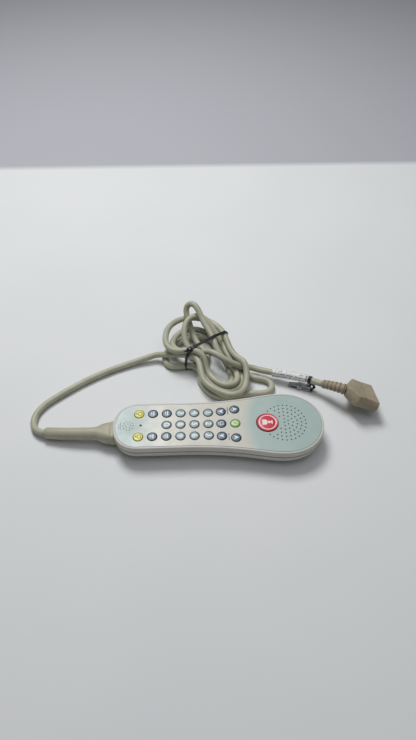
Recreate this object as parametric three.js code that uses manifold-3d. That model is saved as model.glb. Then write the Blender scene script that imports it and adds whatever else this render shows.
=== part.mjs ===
// Bedside hand controller (pillow speaker): a keypad handset with a call button and a loudspeaker,
// its cord tied in a hank behind it, a sheet clip and a multi-way wall plug.
// Millimetres. Origin: centre of the handset case on the surface it lies on.
// +X towards the loudspeaker end, +Y towards the hank of cord, +Z up out of the key face.
import * as THREE from "three";
import { mergeVertices } from "three/addons/utils/BufferGeometryUtils.js";
import Module from "manifold-3d";

const wasm = await Module();
wasm.setup();

// ---------------------------------------------------------------- driving dimensions
const GAP = 0.3; // clearance between neighbouring pieces

const CASE_HALF_LENGTH = 110;
const TAIL_HALF_WIDTH = 29;
const WAIST_HALF_WIDTH = 28.8;
const HEAD_HALF_WIDTH = 38.7;
const CASE_TOP = 24; // rim of the front housing
const WALL = 2;
const REAR_TOP = 15.6; // upper edge of the rear housing
const REAR_TUCK = 14; // how far the belly curves in to the flat underside
const FRONT_BOTTOM = 17; // lower edge of the front housing
const RIM_ROUND = 1.4; // rounding of the front rim
const DECK_TOP = 23;
const DECK_BOTTOM = 20.8;
const OVERLAY_INSET = 2.6; // overlay edge to case edge
const OVERLAY_BOTTOM = DECK_TOP + GAP;
const OVERLAY_TOP = 24.1;

const KEY_PITCH = 14.5;
const KEY_RADIUS = 5;
const KEY_TOP = 24.9;
const KEY_COLUMN_8 = -83; // column of the two lamp keys, nearest the cord
const CALL_X = 51;
const CALL_RADIUS = 11.5;
const CALL_TOP = 25.2;
const FLANGE_TOP = DECK_BOTTOM - GAP;
const FLANGE_BOTTOM = 19.2;
const FLANGE_LIP = 1.3; // flange radius beyond the cap
const HOLE_CLEARANCE = 0.4;
const KEY_SIDES = 12;
const CALL_SIDES = 24;
const LAMP_X = KEY_COLUMN_8 + 2;
const LAMP_HOLE_RADIUS = 1.3;
const LAMP_SIDES = 8;

const GRILLE_X = 69;
const GRILLE_STEP = 4.45;
const GRILLE_RINGS = 5;
const GRILLE_HOLE_RADIUS = 0.75;

const BOARD_BOTTOM = 15.4;
const BOARD_TOP = 17;
const BOARD_INSET = 5;
const BOARD_HEAD_END = 57;
const BOARD_TAIL_END = -88;
const DOME_SHEET_TOP = 17.9;
const DOME_TOP = 18.3;

const SPEAKER_X = 80;
const SPEAKER_RADIUS = 15.5;

const CASE_SCREWS = [
  [-69, 0],
  [58.5, 20],
  [58.5, -20],
];
const CLAMP_SCREWS = [
  [-94, 8],
  [-94, -8],
];

const BOOT_Z = 11.5;
const CORD_DIAMETER = 7.2;
const CORD_SIDES = 8;
const HANK_BOTTOM = 1.8;
const HANK_LOW = 20; // height of the hank at the handset end
const HANK_HIGH = 44; // and under its standing loop
const TIE_CENTRE = [-9.5, 116];
const TIE_YAW = THREE.MathUtils.degToRad(39);
const TIE_INNER = [56, 29];
const TIE_THICKNESS = 1.2;
const TIE_BAND = 3.2;

const CLIP_AT = [96, 66.1];
const CLIP_YAW = THREE.MathUtils.degToRad(160); // its mouth points back towards the hank
const CLIP_PIN_Z = 3.1;
const CLIP_WIDTH = 7;

const PLUG_AT = [149.2, 40.9, 20.6]; // middle of the hood's shoulders
const PLUG_YAW = THREE.MathUtils.degToRad(-6.5);
const PLUG_PITCH = THREE.MathUtils.degToRad(20.5);
const PLUG_ROLL = THREE.MathUtils.degToRad(-18);
const HOOD_LENGTH = 25; // shoulders to contact face
const HOOD_NECK = 9; // strain relief to shoulders
const HOOD_HALF_WIDTH = 20;
const HOOD_HALF_DEPTH = 6.8;

// ---------------------------------------------------------------- cord routes, sleeve to plug
const SLEEVE_END = [-184, 5.2, 7.2];
const LEAD_ROUTE = [
  [-184.3, 5.28, 7.15],
  [-190, 7.2, 6.3],
  [-195.5, 11.6, 5.2],
  [-198.8, 18.5, 4.2],
  [-199.4, 27, 3.8],
  [-196.8, 36.5, 3.7],
  [-190.5, 46, 3.7],
  [-181, 55, 3.7],
  [-168, 65.5, 3.7],
  [-151, 78, 3.7],
  [-133, 89, 3.7],
  [-113, 99, 3.8],
  [-94, 106.5, 4.6],
  [-80, 110.8, 6.4],
  [-68.5, 113.4, 8.4],
];
const SIDE_LOOP_ROUTE = [
  [41.2, 57.5, 3.7],
  [49, 55.4, 3.7],
  [57, 56.8, 3.7],
  [62.2, 62.6, 3.7],
  [62.4, 69.6, 3.7],
  [57.6, 75, 3.8],
  [50, 77.2, 4.2],
  [43.6, 77.6, 5],
];
const TAIL_ROUTE = [
  [41.5, 90, 9],
  [52, 86.4, 8.4],
  [64, 81.6, 9.8],
  [83, 74.6, 12.2],
  [102, 66.8, 13.8],
  [118.3, 57.8, 15.4],
];
const LABEL_SPAN = [0.31, 0.78]; // share of the tail that the wrap label covers
const STRAP_SPAN = [0.81, 0.85]; // and the clip's strap
const STRAP_ROUTE = [
  [107, 63.7, 9.7],
  [111, 63, 6.4],
  [111.2, 61.8, 3],
  [107.4, 61.9, 1.8],
];
const RELIEF_ROUTE = [
  [119.2, 57.2, 16],
  [125.2, 52.7, 19],
  [131, 48.2, 21.7],
  [136, 44.7, 23.3],
  [140.1, 42, 24],
];

// Hank outline seen from above, once round
const HANK_OUTLINE = [
  [22, 39.3],
  [33, 44],
  [38.4, 56],
  [40.3, 70],
  [39.4, 84],
  [34, 100],
  [29, 113],
  [25, 122],
  [20.5, 133],
  [14.5, 145],
  [4.5, 156.5],
  [-8.5, 166],
  [-19, 172],
  [-32, 174.3],
  [-44, 165],
  [-56, 153],
  [-62.5, 138],
  [-64, 122],
  [-62.5, 104],
  [-57, 91.5],
  [-41, 84.5],
  [-25.5, 76],
  [-19.8, 63],
  [-6.5, 48.5],
];

// ---------------------------------------------------------------- materials
function finish(color, roughness, metalness = 0) {
  return new THREE.MeshStandardMaterial({ color, roughness, metalness });
}
const CASE_PLASTIC = finish(0xcfcbc2, 0.55);
const OVERLAY_FILM = finish(0xc6d2d0, 0.42);
const LAMP_KEY = finish(0xe6d23a, 0.4);
const DARK_KEY = finish(0x44687c, 0.4);
const DIGIT_KEY = finish(0x93adb1, 0.4);
const GREEN_KEY = finish(0x86b83e, 0.4);
const RED_KEY = finish(0xc83c4a, 0.38);
const CORD_PVC = finish(0xa9a68f, 0.5);
const HOOD_PVC = finish(0x8d8474, 0.55);
const BLACK_NYLON = finish(0x1b1c1f, 0.45);
const LABEL_PAPER = finish(0xe9e9e6, 0.5);
const STEEL = finish(0xb9babc, 0.3, 1);
const BRASS = finish(0xc9a24a, 0.35, 1);
const BOARD_GREEN = finish(0x2c6a3e, 0.5);
const DARK_PLASTIC = finish(0x2a2b2d, 0.5);
const SEAL_RUBBER = finish(0x8f8c86, 0.7);

// ---------------------------------------------------------------- joining and cutting
function solid(geometry) {
  const bare = geometry.clone();
  bare.deleteAttribute("normal");
  bare.deleteAttribute("uv");
  const merged = mergeVertices(bare, 1e-4);
  return new wasm.Manifold(
    new wasm.Mesh({
      numProp: 3,
      vertProperties: merged.attributes.position.array,
      triVerts: new Uint32Array(merged.index.array),
    }),
  );
}

function geometryOf(body) {
  const mesh = body.getMesh();
  const geometry = new THREE.BufferGeometry();
  geometry.setAttribute("position", new THREE.BufferAttribute(mesh.vertProperties, 3));
  geometry.setIndex(new THREE.BufferAttribute(mesh.triVerts, 1));
  geometry.computeVertexNormals();
  return geometry;
}

function join(...geometries) {
  return geometryOf(geometries.map(solid).reduce((a, b) => a.add(b)));
}

function cut(geometry, ...tools) {
  return geometryOf(tools.map(solid).reduce((a, b) => a.subtract(b), solid(geometry)));
}

function common(a, b) {
  return geometryOf(solid(a).intersect(solid(b)));
}

// ---------------------------------------------------------------- basic shapes
function block([x0, x1], [y0, y1], [z0, z1]) {
  const geometry = new THREE.BoxGeometry(x1 - x0, y1 - y0, z1 - z0);
  return geometry.translate((x0 + x1) / 2, (y0 + y1) / 2, (z0 + z1) / 2);
}

// Upright round bar between two heights
function post([x, y], radius, z0, z1, sides = 16, topRadius = radius) {
  const geometry = new THREE.CylinderGeometry(topRadius, radius, z1 - z0, sides);
  return geometry.rotateX(Math.PI / 2).translate(x, y, (z0 + z1) / 2);
}

function prism(outline, z0, z1) {
  const geometry = new THREE.ExtrudeGeometry(new THREE.Shape(outline), {
    depth: z1 - z0,
    bevelEnabled: false,
  });
  return geometry.translate(0, 0, z0);
}

function ring([x, y], outer, inner, z0, z1, sides) {
  return cut(
    post([x, y], outer, z0, z1, sides),
    post([x, y], inner, z0 - 1, z1 + 1, sides),
  );
}

function signedVolume(points, index) {
  let volume = 0;
  for (let i = 0; i < index.length; i += 3) {
    const [a, b, c] = [points[index[i]], points[index[i + 1]], points[index[i + 2]]];
    volume += a.dot(b.clone().cross(c)) / 6;
  }
  return volume;
}

// Closed skin through rings that have equal numbers of points, with a fan over each end
function loft(rings) {
  const count = rings[0].length;
  const last = rings.length - 1;
  const points = rings.flat();
  const middle = (ring) =>
    ring.reduce((sum, p) => sum.add(p), new THREE.Vector3()).divideScalar(count);
  points.push(middle(rings[0]), middle(rings[last]));
  const index = [];
  for (let i = 0; i < count; i++) {
    const next = (i + 1) % count;
    for (let r = 0; r < last; r++) {
      const low = r * count;
      const high = low + count;
      index.push(low + i, low + next, high + next, low + i, high + next, high + i);
    }
    index.push(points.length - 2, next, i);
    index.push(points.length - 1, last * count + i, last * count + next);
  }
  if (signedVolume(points, index) < 0) index.reverse();
  const geometry = new THREE.BufferGeometry().setFromPoints(points);
  geometry.setIndex(index);
  geometry.computeVertexNormals();
  return geometry;
}

// Rounded rectangle about the origin
function roundedRectangle(width, height, radius, cornerSteps = 3) {
  const points = [];
  for (let corner = 0; corner < 4; corner++) {
    const cx = (corner === 0 || corner === 3 ? 1 : -1) * (width / 2 - radius);
    const cy = (corner < 2 ? 1 : -1) * (height / 2 - radius);
    for (let step = 0; step <= cornerSteps; step++) {
      const angle = (corner + step / cornerSteps) * (Math.PI / 2);
      points.push(
        new THREE.Vector2(cx + radius * Math.cos(angle), cy + radius * Math.sin(angle)),
      );
    }
  }
  return points;
}

// A flat section set square to a direction: its x runs sideways, its y upwards
function placed(section, at, along) {
  const side = new THREE.Vector3(0, 0, 1).cross(along).normalize();
  const up = along.clone().cross(side).normalize();
  return section.map((p) =>
    at.clone().addScaledVector(side, p.x).addScaledVector(up, p.y),
  );
}

function curveThrough(route) {
  return new THREE.CatmullRomCurve3(
    route.map((p) => new THREE.Vector3(...p)),
    false,
    "centripetal",
  );
}

function polygon(radius, sides) {
  const points = [];
  for (let i = 0; i < sides; i++) {
    const angle = ((i + 0.5) / sides) * 2 * Math.PI;
    points.push(new THREE.Vector2(radius * Math.cos(angle), radius * Math.sin(angle)));
  }
  return points;
}

// Round section carried along a curve, over a share of its length
function tube(curve, radius, steps, sides = CORD_SIDES, [from, to] = [0, 1]) {
  const rings = [];
  for (let i = 0; i <= steps; i++) {
    const t = from + ((to - from) * i) / steps;
    rings.push(placed(polygon(radius, sides), curve.getPointAt(t), curve.getTangentAt(t)));
  }
  return loft(rings);
}

// ---------------------------------------------------------------- case outline
// Half of the outline from tail tip to head tip as four Bezier arcs, mirrored to close it
function caseOutline(outset = 0) {
  const arcs = [
    [[-110, 0], [-110, 17.2], [-99.4, TAIL_HALF_WIDTH], [-84, TAIL_HALF_WIDTH], 7],
    [[-84, TAIL_HALF_WIDTH], [-68, 29], [-52, WAIST_HALF_WIDTH], [-36, WAIST_HALF_WIDTH], 2],
    [[-36, WAIST_HALF_WIDTH], [26, 28.8], [45.5, HEAD_HALF_WIDTH], [67.5, HEAD_HALF_WIDTH], 6],
    [[67.5, HEAD_HALF_WIDTH], [92.6, HEAD_HALF_WIDTH], [110, 22], [CASE_HALF_LENGTH, 0], 8],
  ];
  const half = [];
  for (const [a, b, c, d, steps] of arcs) {
    const arc = new THREE.CubicBezierCurve(
      new THREE.Vector2(...a),
      new THREE.Vector2(...b),
      new THREE.Vector2(...c),
      new THREE.Vector2(...d),
    );
    half.push(...arc.getPoints(steps).slice(0, -1));
  }
  const tip = new THREE.Vector2(CASE_HALF_LENGTH, 0);
  const mirrored = half.slice(1).map((p) => new THREE.Vector2(p.x, -p.y));
  // tail tip, lower side to the head tip, then back along the upper side: counter-clockwise
  const outline = [half[0], ...mirrored, tip, ...half.slice(1).reverse()];
  return outline.map((p, i) => {
    const before = outline[(i + outline.length - 1) % outline.length];
    const after = outline[(i + 1) % outline.length];
    const along = after.clone().sub(before).normalize();
    return new THREE.Vector2(p.x + along.y * outset, p.y - along.x * outset);
  });
}

function outlineAt(outset, z) {
  return caseOutline(outset).map((p) => new THREE.Vector3(p.x, p.y, z));
}

// Belly: quarter-ellipse sides between the flat underside and the parting edge
function belly(wall, floor, top, tuck, steps, outset = 0) {
  const rings = [];
  for (let i = steps; i >= 0; i--) {
    const angle = (i / steps) * (Math.PI / 2);
    const inset = wall + tuck * (1 - Math.cos(angle));
    rings.push(outlineAt(outset - inset, floor + (top - floor) * (1 - Math.sin(angle))));
  }
  return rings;
}

// ---------------------------------------------------------------- key positions
function columnX(column) {
  return KEY_COLUMN_8 + (8 - column) * KEY_PITCH;
}

const KEYS = [
  ["key_reading_lamp", columnX(8), KEY_PITCH, LAMP_KEY],
  ["key_room_lamp", columnX(8), -KEY_PITCH, LAMP_KEY],
  ["key_caption", columnX(7), KEY_PITCH, DARK_KEY],
  ["key_mute", columnX(7), -KEY_PITCH, DARK_KEY],
  ["key_last", columnX(6), KEY_PITCH, DARK_KEY],
  ["key_0", columnX(6), 0, DIGIT_KEY],
  ["key_enter", columnX(6), -KEY_PITCH, DARK_KEY],
  ["key_volume_down", columnX(2) - 1, 15.5, DARK_KEY],
  ["key_source", columnX(2) - 1, 0, DARK_KEY],
  ["key_channel_down", columnX(2) - 1, -15.5, DARK_KEY],
  ["key_volume_up", columnX(1) - 1, 18, DARK_KEY],
  ["key_power", columnX(1) - 1, 0, GREEN_KEY],
  ["key_channel_up", columnX(1) - 1, -18, DARK_KEY],
];
for (let digit = 1; digit <= 9; digit++) {
  const column = 3 + Math.floor((digit - 1) / 3);
  const row = 1 - ((digit - 1) % 3);
  KEYS.push([`key_${digit}`, columnX(column), row * KEY_PITCH, DIGIT_KEY]);
}

// Grille holes: a centre hole and rings of 6, 12, 18 ... holes, clear of the call button
function grilleHoles() {
  const holes = [[GRILLE_X, 0]];
  for (let k = 1; k <= GRILLE_RINGS; k++) {
    for (let i = 0; i < 6 * k; i++) {
      const angle = ((i + 0.5 * (k % 2)) / (6 * k)) * 2 * Math.PI;
      const x = GRILLE_X + k * GRILLE_STEP * Math.cos(angle);
      const y = k * GRILLE_STEP * Math.sin(angle);
      if (Math.hypot(x - CALL_X, y) > CALL_RADIUS + 3) holes.push([x, y]);
    }
  }
  return holes;
}

// ---------------------------------------------------------------- handset case
function rearHousing() {
  const outer = loft(belly(0, 0, REAR_TOP, REAR_TUCK, 6));
  const hollow = loft([
    ...belly(WALL, 2, REAR_TOP, REAR_TUCK - 1, 5),
    outlineAt(-WALL, REAR_TOP + 1),
  ]);
  let shell = cut(outer, hollow);
  for (const at of CASE_SCREWS) shell = join(shell, post(at, 4, 1, 15));
  for (const at of CLAMP_SCREWS) shell = join(shell, post(at, 3, 1, 11.2, 12));
  const tools = [block([-112, -99], [-6.8, 6.8], [6.7, 20])];
  for (const at of CASE_SCREWS) {
    tools.push(post(at, 3.2, -1, 3));
    tools.push(post(at, 1.7, 2, 20));
  }
  for (const at of CLAMP_SCREWS) tools.push(post(at, 1.3, 4, 20, 12));
  return cut(shell, ...tools);
}

// Sound port under the perforated film: a round window with crossed ribs, short of the call button
function speakerPort() {
  const radius = GRILLE_STEP * GRILLE_RINGS;
  const ribs = [
    block([GRILLE_X - radius - 1, GRILLE_X + radius + 1], [-1, 1], [19, 26]),
    block([GRILLE_X - 1, GRILLE_X + 1], [-radius - 1, radius + 1], [19, 26]),
  ];
  const surround = post([CALL_X, 0], CALL_RADIUS + 2.2, 19, 26, CALL_SIDES);
  return cut(post([GRILLE_X, 0], radius, 20, 25, CALL_SIDES), surround, ...ribs);
}

function frontHousing() {
  const round = RIM_ROUND;
  const outer = loft([
    outlineAt(0, FRONT_BOTTOM),
    outlineAt(0, CASE_TOP - round),
    outlineAt(-0.3 * round, CASE_TOP - 0.3 * round),
    outlineAt(-round, CASE_TOP),
  ]);
  const tools = [
    prism(caseOutline(-WALL), FRONT_BOTTOM - 1, DECK_BOTTOM),
    prism(caseOutline(GAP - OVERLAY_INSET), DECK_TOP, CASE_TOP + 1),
  ];
  for (const [, x, y] of KEYS) {
    tools.push(post([x, y], KEY_RADIUS + HOLE_CLEARANCE, 20, 25, KEY_SIDES));
  }
  tools.push(post([CALL_X, 0], CALL_RADIUS + HOLE_CLEARANCE, 20, 25, CALL_SIDES));
  tools.push(speakerPort());
  tools.push(post([LAMP_X, 0], LAMP_HOLE_RADIUS, 20, 25, LAMP_SIDES));
  let shell = cut(outer, ...tools);
  for (const at of CASE_SCREWS) {
    const boss = cut(post(at, 3.4, REAR_TOP, DECK_BOTTOM + 0.5), post(at, 1.7, 15, 20.2));
    shell = join(shell, boss);
  }
  return shell;
}

function faceOverlay() {
  const shape = new THREE.Shape(caseOutline(-OVERLAY_INSET));
  const addHole = ([x, y], radius, sides) => {
    const path = polygon(radius, sides).map((p) => new THREE.Vector2(x + p.x, y + p.y));
    shape.holes.push(new THREE.Path(path.reverse()));
  };
  for (const [, x, y] of KEYS) addHole([x, y], KEY_RADIUS + HOLE_CLEARANCE, KEY_SIDES);
  addHole([CALL_X, 0], CALL_RADIUS + HOLE_CLEARANCE, CALL_SIDES);
  for (const at of grilleHoles()) addHole(at, GRILLE_HOLE_RADIUS, 5);
  addHole([LAMP_X, 0], LAMP_HOLE_RADIUS, LAMP_SIDES);
  const geometry = new THREE.ExtrudeGeometry(shape, {
    depth: OVERLAY_TOP - OVERLAY_BOTTOM,
    bevelEnabled: false,
  });
  return geometry.translate(0, 0, OVERLAY_BOTTOM);
}

function housingSeal() {
  const outer = prism(caseOutline(-0.5), REAR_TOP + GAP, FRONT_BOTTOM - GAP);
  return cut(outer, prism(caseOutline(-WALL), REAR_TOP - 1, FRONT_BOTTOM + 1));
}

// Cap with a wider flange under the deck that keeps it in its hole
function keyCap(x, y, radius, top, sides) {
  const profile = [
    [0, FLANGE_BOTTOM],
    [radius + FLANGE_LIP, FLANGE_BOTTOM],
    [radius + FLANGE_LIP, FLANGE_TOP],
    [radius, FLANGE_TOP],
    [radius, top],
    [0, top],
  ].map(([r, z]) => new THREE.Vector2(r, z));
  const geometry = new THREE.LatheGeometry(profile, sides);
  return geometry.rotateX(Math.PI / 2).translate(x, y, 0);
}

// ---------------------------------------------------------------- inside the case
function plateInside(inset, z0, z1, bossClearance) {
  const plate = common(
    prism(caseOutline(-inset), z0, z1),
    block([BOARD_TAIL_END, BOARD_HEAD_END], [-60, 60], [z0 - 1, z1 + 1]),
  );
  return cut(plate, ...CASE_SCREWS.map((at) => post(at, bossClearance, z0 - 1, z1 + 1)));
}

function domeSheet() {
  let sheet = plateInside(BOARD_INSET + 1, BOARD_TOP + GAP, DOME_SHEET_TOP, 4.6);
  for (const [, x, y] of KEYS) {
    sheet = join(sheet, post([x, y], 2.6, DOME_SHEET_TOP - 0.2, DOME_TOP, 6, 1.6));
  }
  return join(sheet, post([CALL_X, 0], 4, DOME_SHEET_TOP - 0.2, DOME_TOP, 8, 2.4));
}

function speakerCone() {
  const profile = [
    [0, 11.4],
    [4.5, 11.4],
    [13, 15.6],
    [13, 16.2],
    [4.2, 12.2],
    [0, 12.8],
  ].map(([r, z]) => new THREE.Vector2(r, z));
  return new THREE.LatheGeometry(profile, 24).rotateX(Math.PI / 2).translate(SPEAKER_X, 0, 0);
}

function speakerFrame() {
  const profile = [
    [8.3, 8.6],
    [10, 8.6],
    [SPEAKER_RADIUS, 14.6],
    [SPEAKER_RADIUS, 16.8],
    [13.4, 16.8],
    [13.4, 15.2],
    [8.3, 10.2],
    [8.3, 8.6],
  ].map(([r, z]) => new THREE.Vector2(r, z));
  return new THREE.LatheGeometry(profile, 24).rotateX(Math.PI / 2).translate(SPEAKER_X, 0, 0);
}

function screw([x, y], headRadius, headBottom, headTop, shankRadius, tip) {
  const head = post([x, y], headRadius, headBottom, headTop);
  const slotDepth = 0.9;
  const slots = [
    block([x - headRadius * 0.7, x + headRadius * 0.7], [y - 0.4, y + 0.4], [-9, slotDepth]),
    block([x - 0.4, x + 0.4], [y - headRadius * 0.7, y + headRadius * 0.7], [-9, slotDepth]),
  ];
  const low = Math.min(headBottom, headTop);
  slots.forEach((slot) => slot.translate(0, 0, low));
  const shank = post([x, y], shankRadius, Math.min(headTop, tip), Math.max(headTop, tip), 10);
  return join(cut(head, ...slots), shank);
}

function clampScrew([x, y]) {
  return join(post([x, y], 2.4, 14.4, 15.1, 12), post([x, y], 1, 6, 14.6, 8));
}

// ---------------------------------------------------------------- cord boot
function cordBoot() {
  const along = new THREE.Vector3(-1, 0, 0);
  const section = (x, width, height, corner, y = 0, z = BOOT_Z) =>
    placed(roundedRectangle(width, height, corner), new THREE.Vector3(x, y, z), along);
  const endSection = placed(
    roundedRectangle(11.6, 11.6, 5.7),
    new THREE.Vector3(...SLEEVE_END),
    leadCurve.getTangentAt(0),
  );
  const body = loft([
    section(-104, 24, 16, 5),
    section(-113, 24, 16, 5),
    section(-113.6, 22.6, 14.8, 5),
    section(-114.6, 22.6, 14.8, 5),
    section(-115.2, 23, 15.4, 6),
    section(-123, 20, 14.6, 6.4),
    section(-128.5, 13.6, 13.4, 6.5),
    section(-140, 13, 13, 6.4, 0.4, 11),
    section(-160, 12.8, 12.8, 6.3, 1.8, 9.6),
    section(-176, 12.6, 12.6, 6.2, 4, 7.8),
    endSection,
  ]);
  const envelope = join(
    loft(belly(0, -0.2, REAR_TOP, REAR_TUCK, 6, GAP)),
    prism(caseOutline(GAP), REAR_TOP - 0.5, CASE_TOP + 1),
  );
  const outside = cut(body, envelope);
  const neck = block([-111, -101], [-6.4, 6.4], [7.1, 15.2]);
  const innerFlange = block([-102.6, -100], [-9, 9], [6.4, 15.2]);
  return join(outside, neck, innerFlange);
}

// ---------------------------------------------------------------- cord, hank and tie
const leadCurve = curveThrough(LEAD_ROUTE);
const sideLoopCurve = curveThrough(SIDE_LOOP_ROUTE);
const tailCurve = curveThrough(TAIL_ROUTE);

function hankHeight(x, y) {
  const run = ((x - 4) * -0.52 + (y - 43) * 0.854) / 135;
  const share = THREE.MathUtils.smoothstep(run, 0.05, 0.95);
  return HANK_LOW + (HANK_HIGH - HANK_LOW) * share;
}

function tieLoop(inner, thickness, band) {
  const corner = inner[1] / 2 - 1;
  const outer = [inner[0] + 2 * thickness, inner[1] + 2 * thickness];
  const shape = new THREE.Shape(roundedRectangle(...outer, corner + thickness));
  shape.holes.push(new THREE.Path(roundedRectangle(...inner, corner).reverse()));
  const geometry = new THREE.ExtrudeGeometry(shape, { depth: band, bevelEnabled: false });
  return geometry.translate(0, 0, -band / 2).rotateX(Math.PI / 2);
}

function standTie(geometry) {
  const lift = TIE_INNER[1] / 2 + TIE_THICKNESS + 0.3;
  return geometry.rotateZ(TIE_YAW).translate(TIE_CENTRE[0], TIE_CENTRE[1], lift);
}

function cordHank() {
  const spline = new THREE.SplineCurve(
    [...HANK_OUTLINE, HANK_OUTLINE[0]].map((p) => new THREE.Vector2(...p)),
  );
  const outline = spline.getPoints(40).slice(0, -1);
  const geometry = prism(outline, 0, 1);
  const position = geometry.attributes.position;
  for (let i = 0; i < position.count; i++) {
    const top = hankHeight(position.getX(i), position.getY(i));
    position.setZ(i, position.getZ(i) > 0.5 ? top : HANK_BOTTOM);
  }
  const inner = [TIE_INNER[0] - 2 * GAP, TIE_INNER[1] - 2 * GAP];
  const groove = tieLoop(inner, 20, TIE_BAND + 2 * GAP);
  const headSeat = block([-42, -23.5], [-3, 3], [TIE_INNER[1] / 2 - 4.5, 20]);
  return cut(geometry, standTie(join(groove, headSeat)));
}

function cableTie() {
  const top = TIE_INNER[1] / 2;
  const head = block([-29.8, -24.4], [-2.6, 2.6], [top - 4, top + 0.5]);
  const tail = block([-38, -29], [-0.9, 0.9], [top - 1.5, top - 0.5]);
  const strap = tieLoop(TIE_INNER, TIE_THICKNESS, TIE_BAND);
  const clear = tieLoop([TIE_INNER[0] - 4, TIE_INNER[1] - 4], 2, 20);
  return standTie(cut(join(strap, head, tail), clear));
}

// Thin sleeve round the cord
function wrap(curve, inner, outer, steps, span) {
  const reach = 0.02;
  return cut(
    tube(curve, outer, steps, CORD_SIDES, span),
    tube(curve, inner, steps + 2, CORD_SIDES, [span[0] - reach, span[1] + reach]),
  );
}

// ---------------------------------------------------------------- sheet clip
function clipBase() {
  const half = CLIP_WIDTH / 2;
  const plate = block([-15, 13], [-half, half], [0, 1]);
  const ear = (y0) => block([-2.2, 2.2], [y0, y0 + 0.7], [0.5, 5.2]);
  const bore = new THREE.CylinderGeometry(1.1, 1.1, 20, 12).translate(0, 0, CLIP_PIN_Z);
  return cut(join(plate, ear(-half), ear(half - 0.7)), bore);
}

function clipJaw() {
  const profile = [
    [13, 1.3],
    [13, 2.2],
    [4, 4.5],
    [1.5, 5.9],
    [-3.5, 5.9],
    [-12.5, 7.3],
    [-12.7, 6.5],
    [-4, 5.1],
    [-1.6, 5],
    [1.4, 5],
    [3.6, 3.8],
    [11.6, 1.6],
    [12, 1.3],
  ].map(([x, z]) => new THREE.Vector2(x, z));
  const width = 5;
  const plate = new THREE.ExtrudeGeometry(new THREE.Shape(profile), {
    depth: width,
    bevelEnabled: false,
  });
  plate.rotateX(Math.PI / 2).translate(0, width / 2, 0);
  const ear = (y0) => block([-1.8, 1.8], [y0, y0 + 0.6], [1.6, 5.4]);
  const bore = new THREE.CylinderGeometry(1.1, 1.1, 20, 12).translate(0, 0, CLIP_PIN_Z);
  return cut(join(plate, ear(-width / 2), ear(width / 2 - 0.6)), bore);
}

function clipSpring() {
  const profile = [
    [1.1, -1.4],
    [1.6, -1.4],
    [1.6, 1.4],
    [1.1, 1.4],
    [1.1, -1.4],
  ].map(([r, y]) => new THREE.Vector2(r, y));
  return new THREE.LatheGeometry(profile, 12).translate(0, 0, CLIP_PIN_Z);
}

// Collar round the cord with a tongue that comes down onto the clip's tail
function clipStrap() {
  const collar = wrap(tailCurve, 4.05, 4.9, 1, STRAP_SPAN);
  const route = curveThrough(STRAP_ROUTE);
  const rings = [];
  const steps = 5;
  for (let i = 0; i <= steps; i++) {
    const t = i / steps;
    const section = roundedRectangle(4, 0.8, 0.3, 1);
    rings.push(placed(section, route.getPointAt(t), route.getTangentAt(t)));
  }
  return join(collar, loft(rings));
}

// ---------------------------------------------------------------- plug
const plugTurn = new THREE.Euler(PLUG_ROLL, PLUG_PITCH, PLUG_YAW, "ZYX");

// In its own axes: X towards the contact face, Z up, origin between the shoulders
function hoodDrop(x) {
  return x > 3 ? -0.0012 * (x - 3) ** 2 : 0;
}

function plugHood() {
  const along = new THREE.Vector3(1, 0, 0);
  const section = (x, halfWidth, halfDepth, corner) =>
    placed(
      roundedRectangle(2 * halfWidth, 2 * halfDepth, corner),
      new THREE.Vector3(x, 0, hoodDrop(x)),
      along,
    );
  const [w, d] = [HOOD_HALF_WIDTH, HOOD_HALF_DEPTH];
  const body = loft([
    section(-HOOD_NECK, 6.4, 6.2, 3),
    section(-HOOD_NECK + 2.5, 9, d, 2),
    section(-1.2, w - 0.6, d, 1.6),
    section(0.4, w, d + 0.1, 1.6),
    section(4, w - 0.3, d + 0.1, 1.6),
    section(12, w - 1, d, 1.6),
    section(20, w - 0.6, d, 1.6),
    section(HOOD_LENGTH - 1.5, w, d + 0.2, 1.6),
    section(HOOD_LENGTH, w - 0.4, d - 0.2, 1.6),
  ]);
  const drop = hoodDrop(HOOD_LENGTH);
  const pocket = block(
    [HOOD_LENGTH - 10, HOOD_LENGTH + 2],
    [-13, 13],
    [drop - 4.3, drop + 4.3],
  );
  return cut(body, pocket);
}

function dOutline(halfTop, halfBottom, halfHeight) {
  return [
    new THREE.Vector2(-halfBottom, -halfHeight),
    new THREE.Vector2(halfBottom, -halfHeight),
    new THREE.Vector2(halfTop, halfHeight),
    new THREE.Vector2(-halfTop, halfHeight),
  ];
}

// Extrudes a Y-Z outline forwards from x0 to x1
function forward(outline, x0, x1) {
  const geometry = prism(outline, x0, x1);
  return geometry.rotateX(Math.PI / 2).rotateZ(Math.PI / 2);
}

const CONTACT_ROWS = [
  [1.3, 7],
  [-1.3, 6],
];
const CONTACT_PITCH = 2.8;

function contactPlaces() {
  const places = [];
  for (const [z, count] of CONTACT_ROWS) {
    for (let i = 0; i < count; i++) places.push([(i - (count - 1) / 2) * CONTACT_PITCH, z]);
  }
  return places;
}

function rod([y, z], radius, x0, x1, sides) {
  const geometry = new THREE.CylinderGeometry(radius, radius, x1 - x0, sides);
  return geometry.rotateZ(Math.PI / 2).translate((x0 + x1) / 2, y, z);
}

function plugShell() {
  const drop = hoodDrop(HOOD_LENGTH);
  const flange = block([HOOD_LENGTH - 1.4, HOOD_LENGTH], [-12.7, 12.7], [-4, 4]);
  const collar = forward(dOutline(11.6, 10.8, 3.6), HOOD_LENGTH - 6, HOOD_LENGTH - 1);
  const bore = forward(dOutline(11.1, 10.3, 3.1), HOOD_LENGTH - 8, HOOD_LENGTH + 2);
  return cut(join(flange, collar), bore).translate(0, 0, drop);
}

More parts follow.
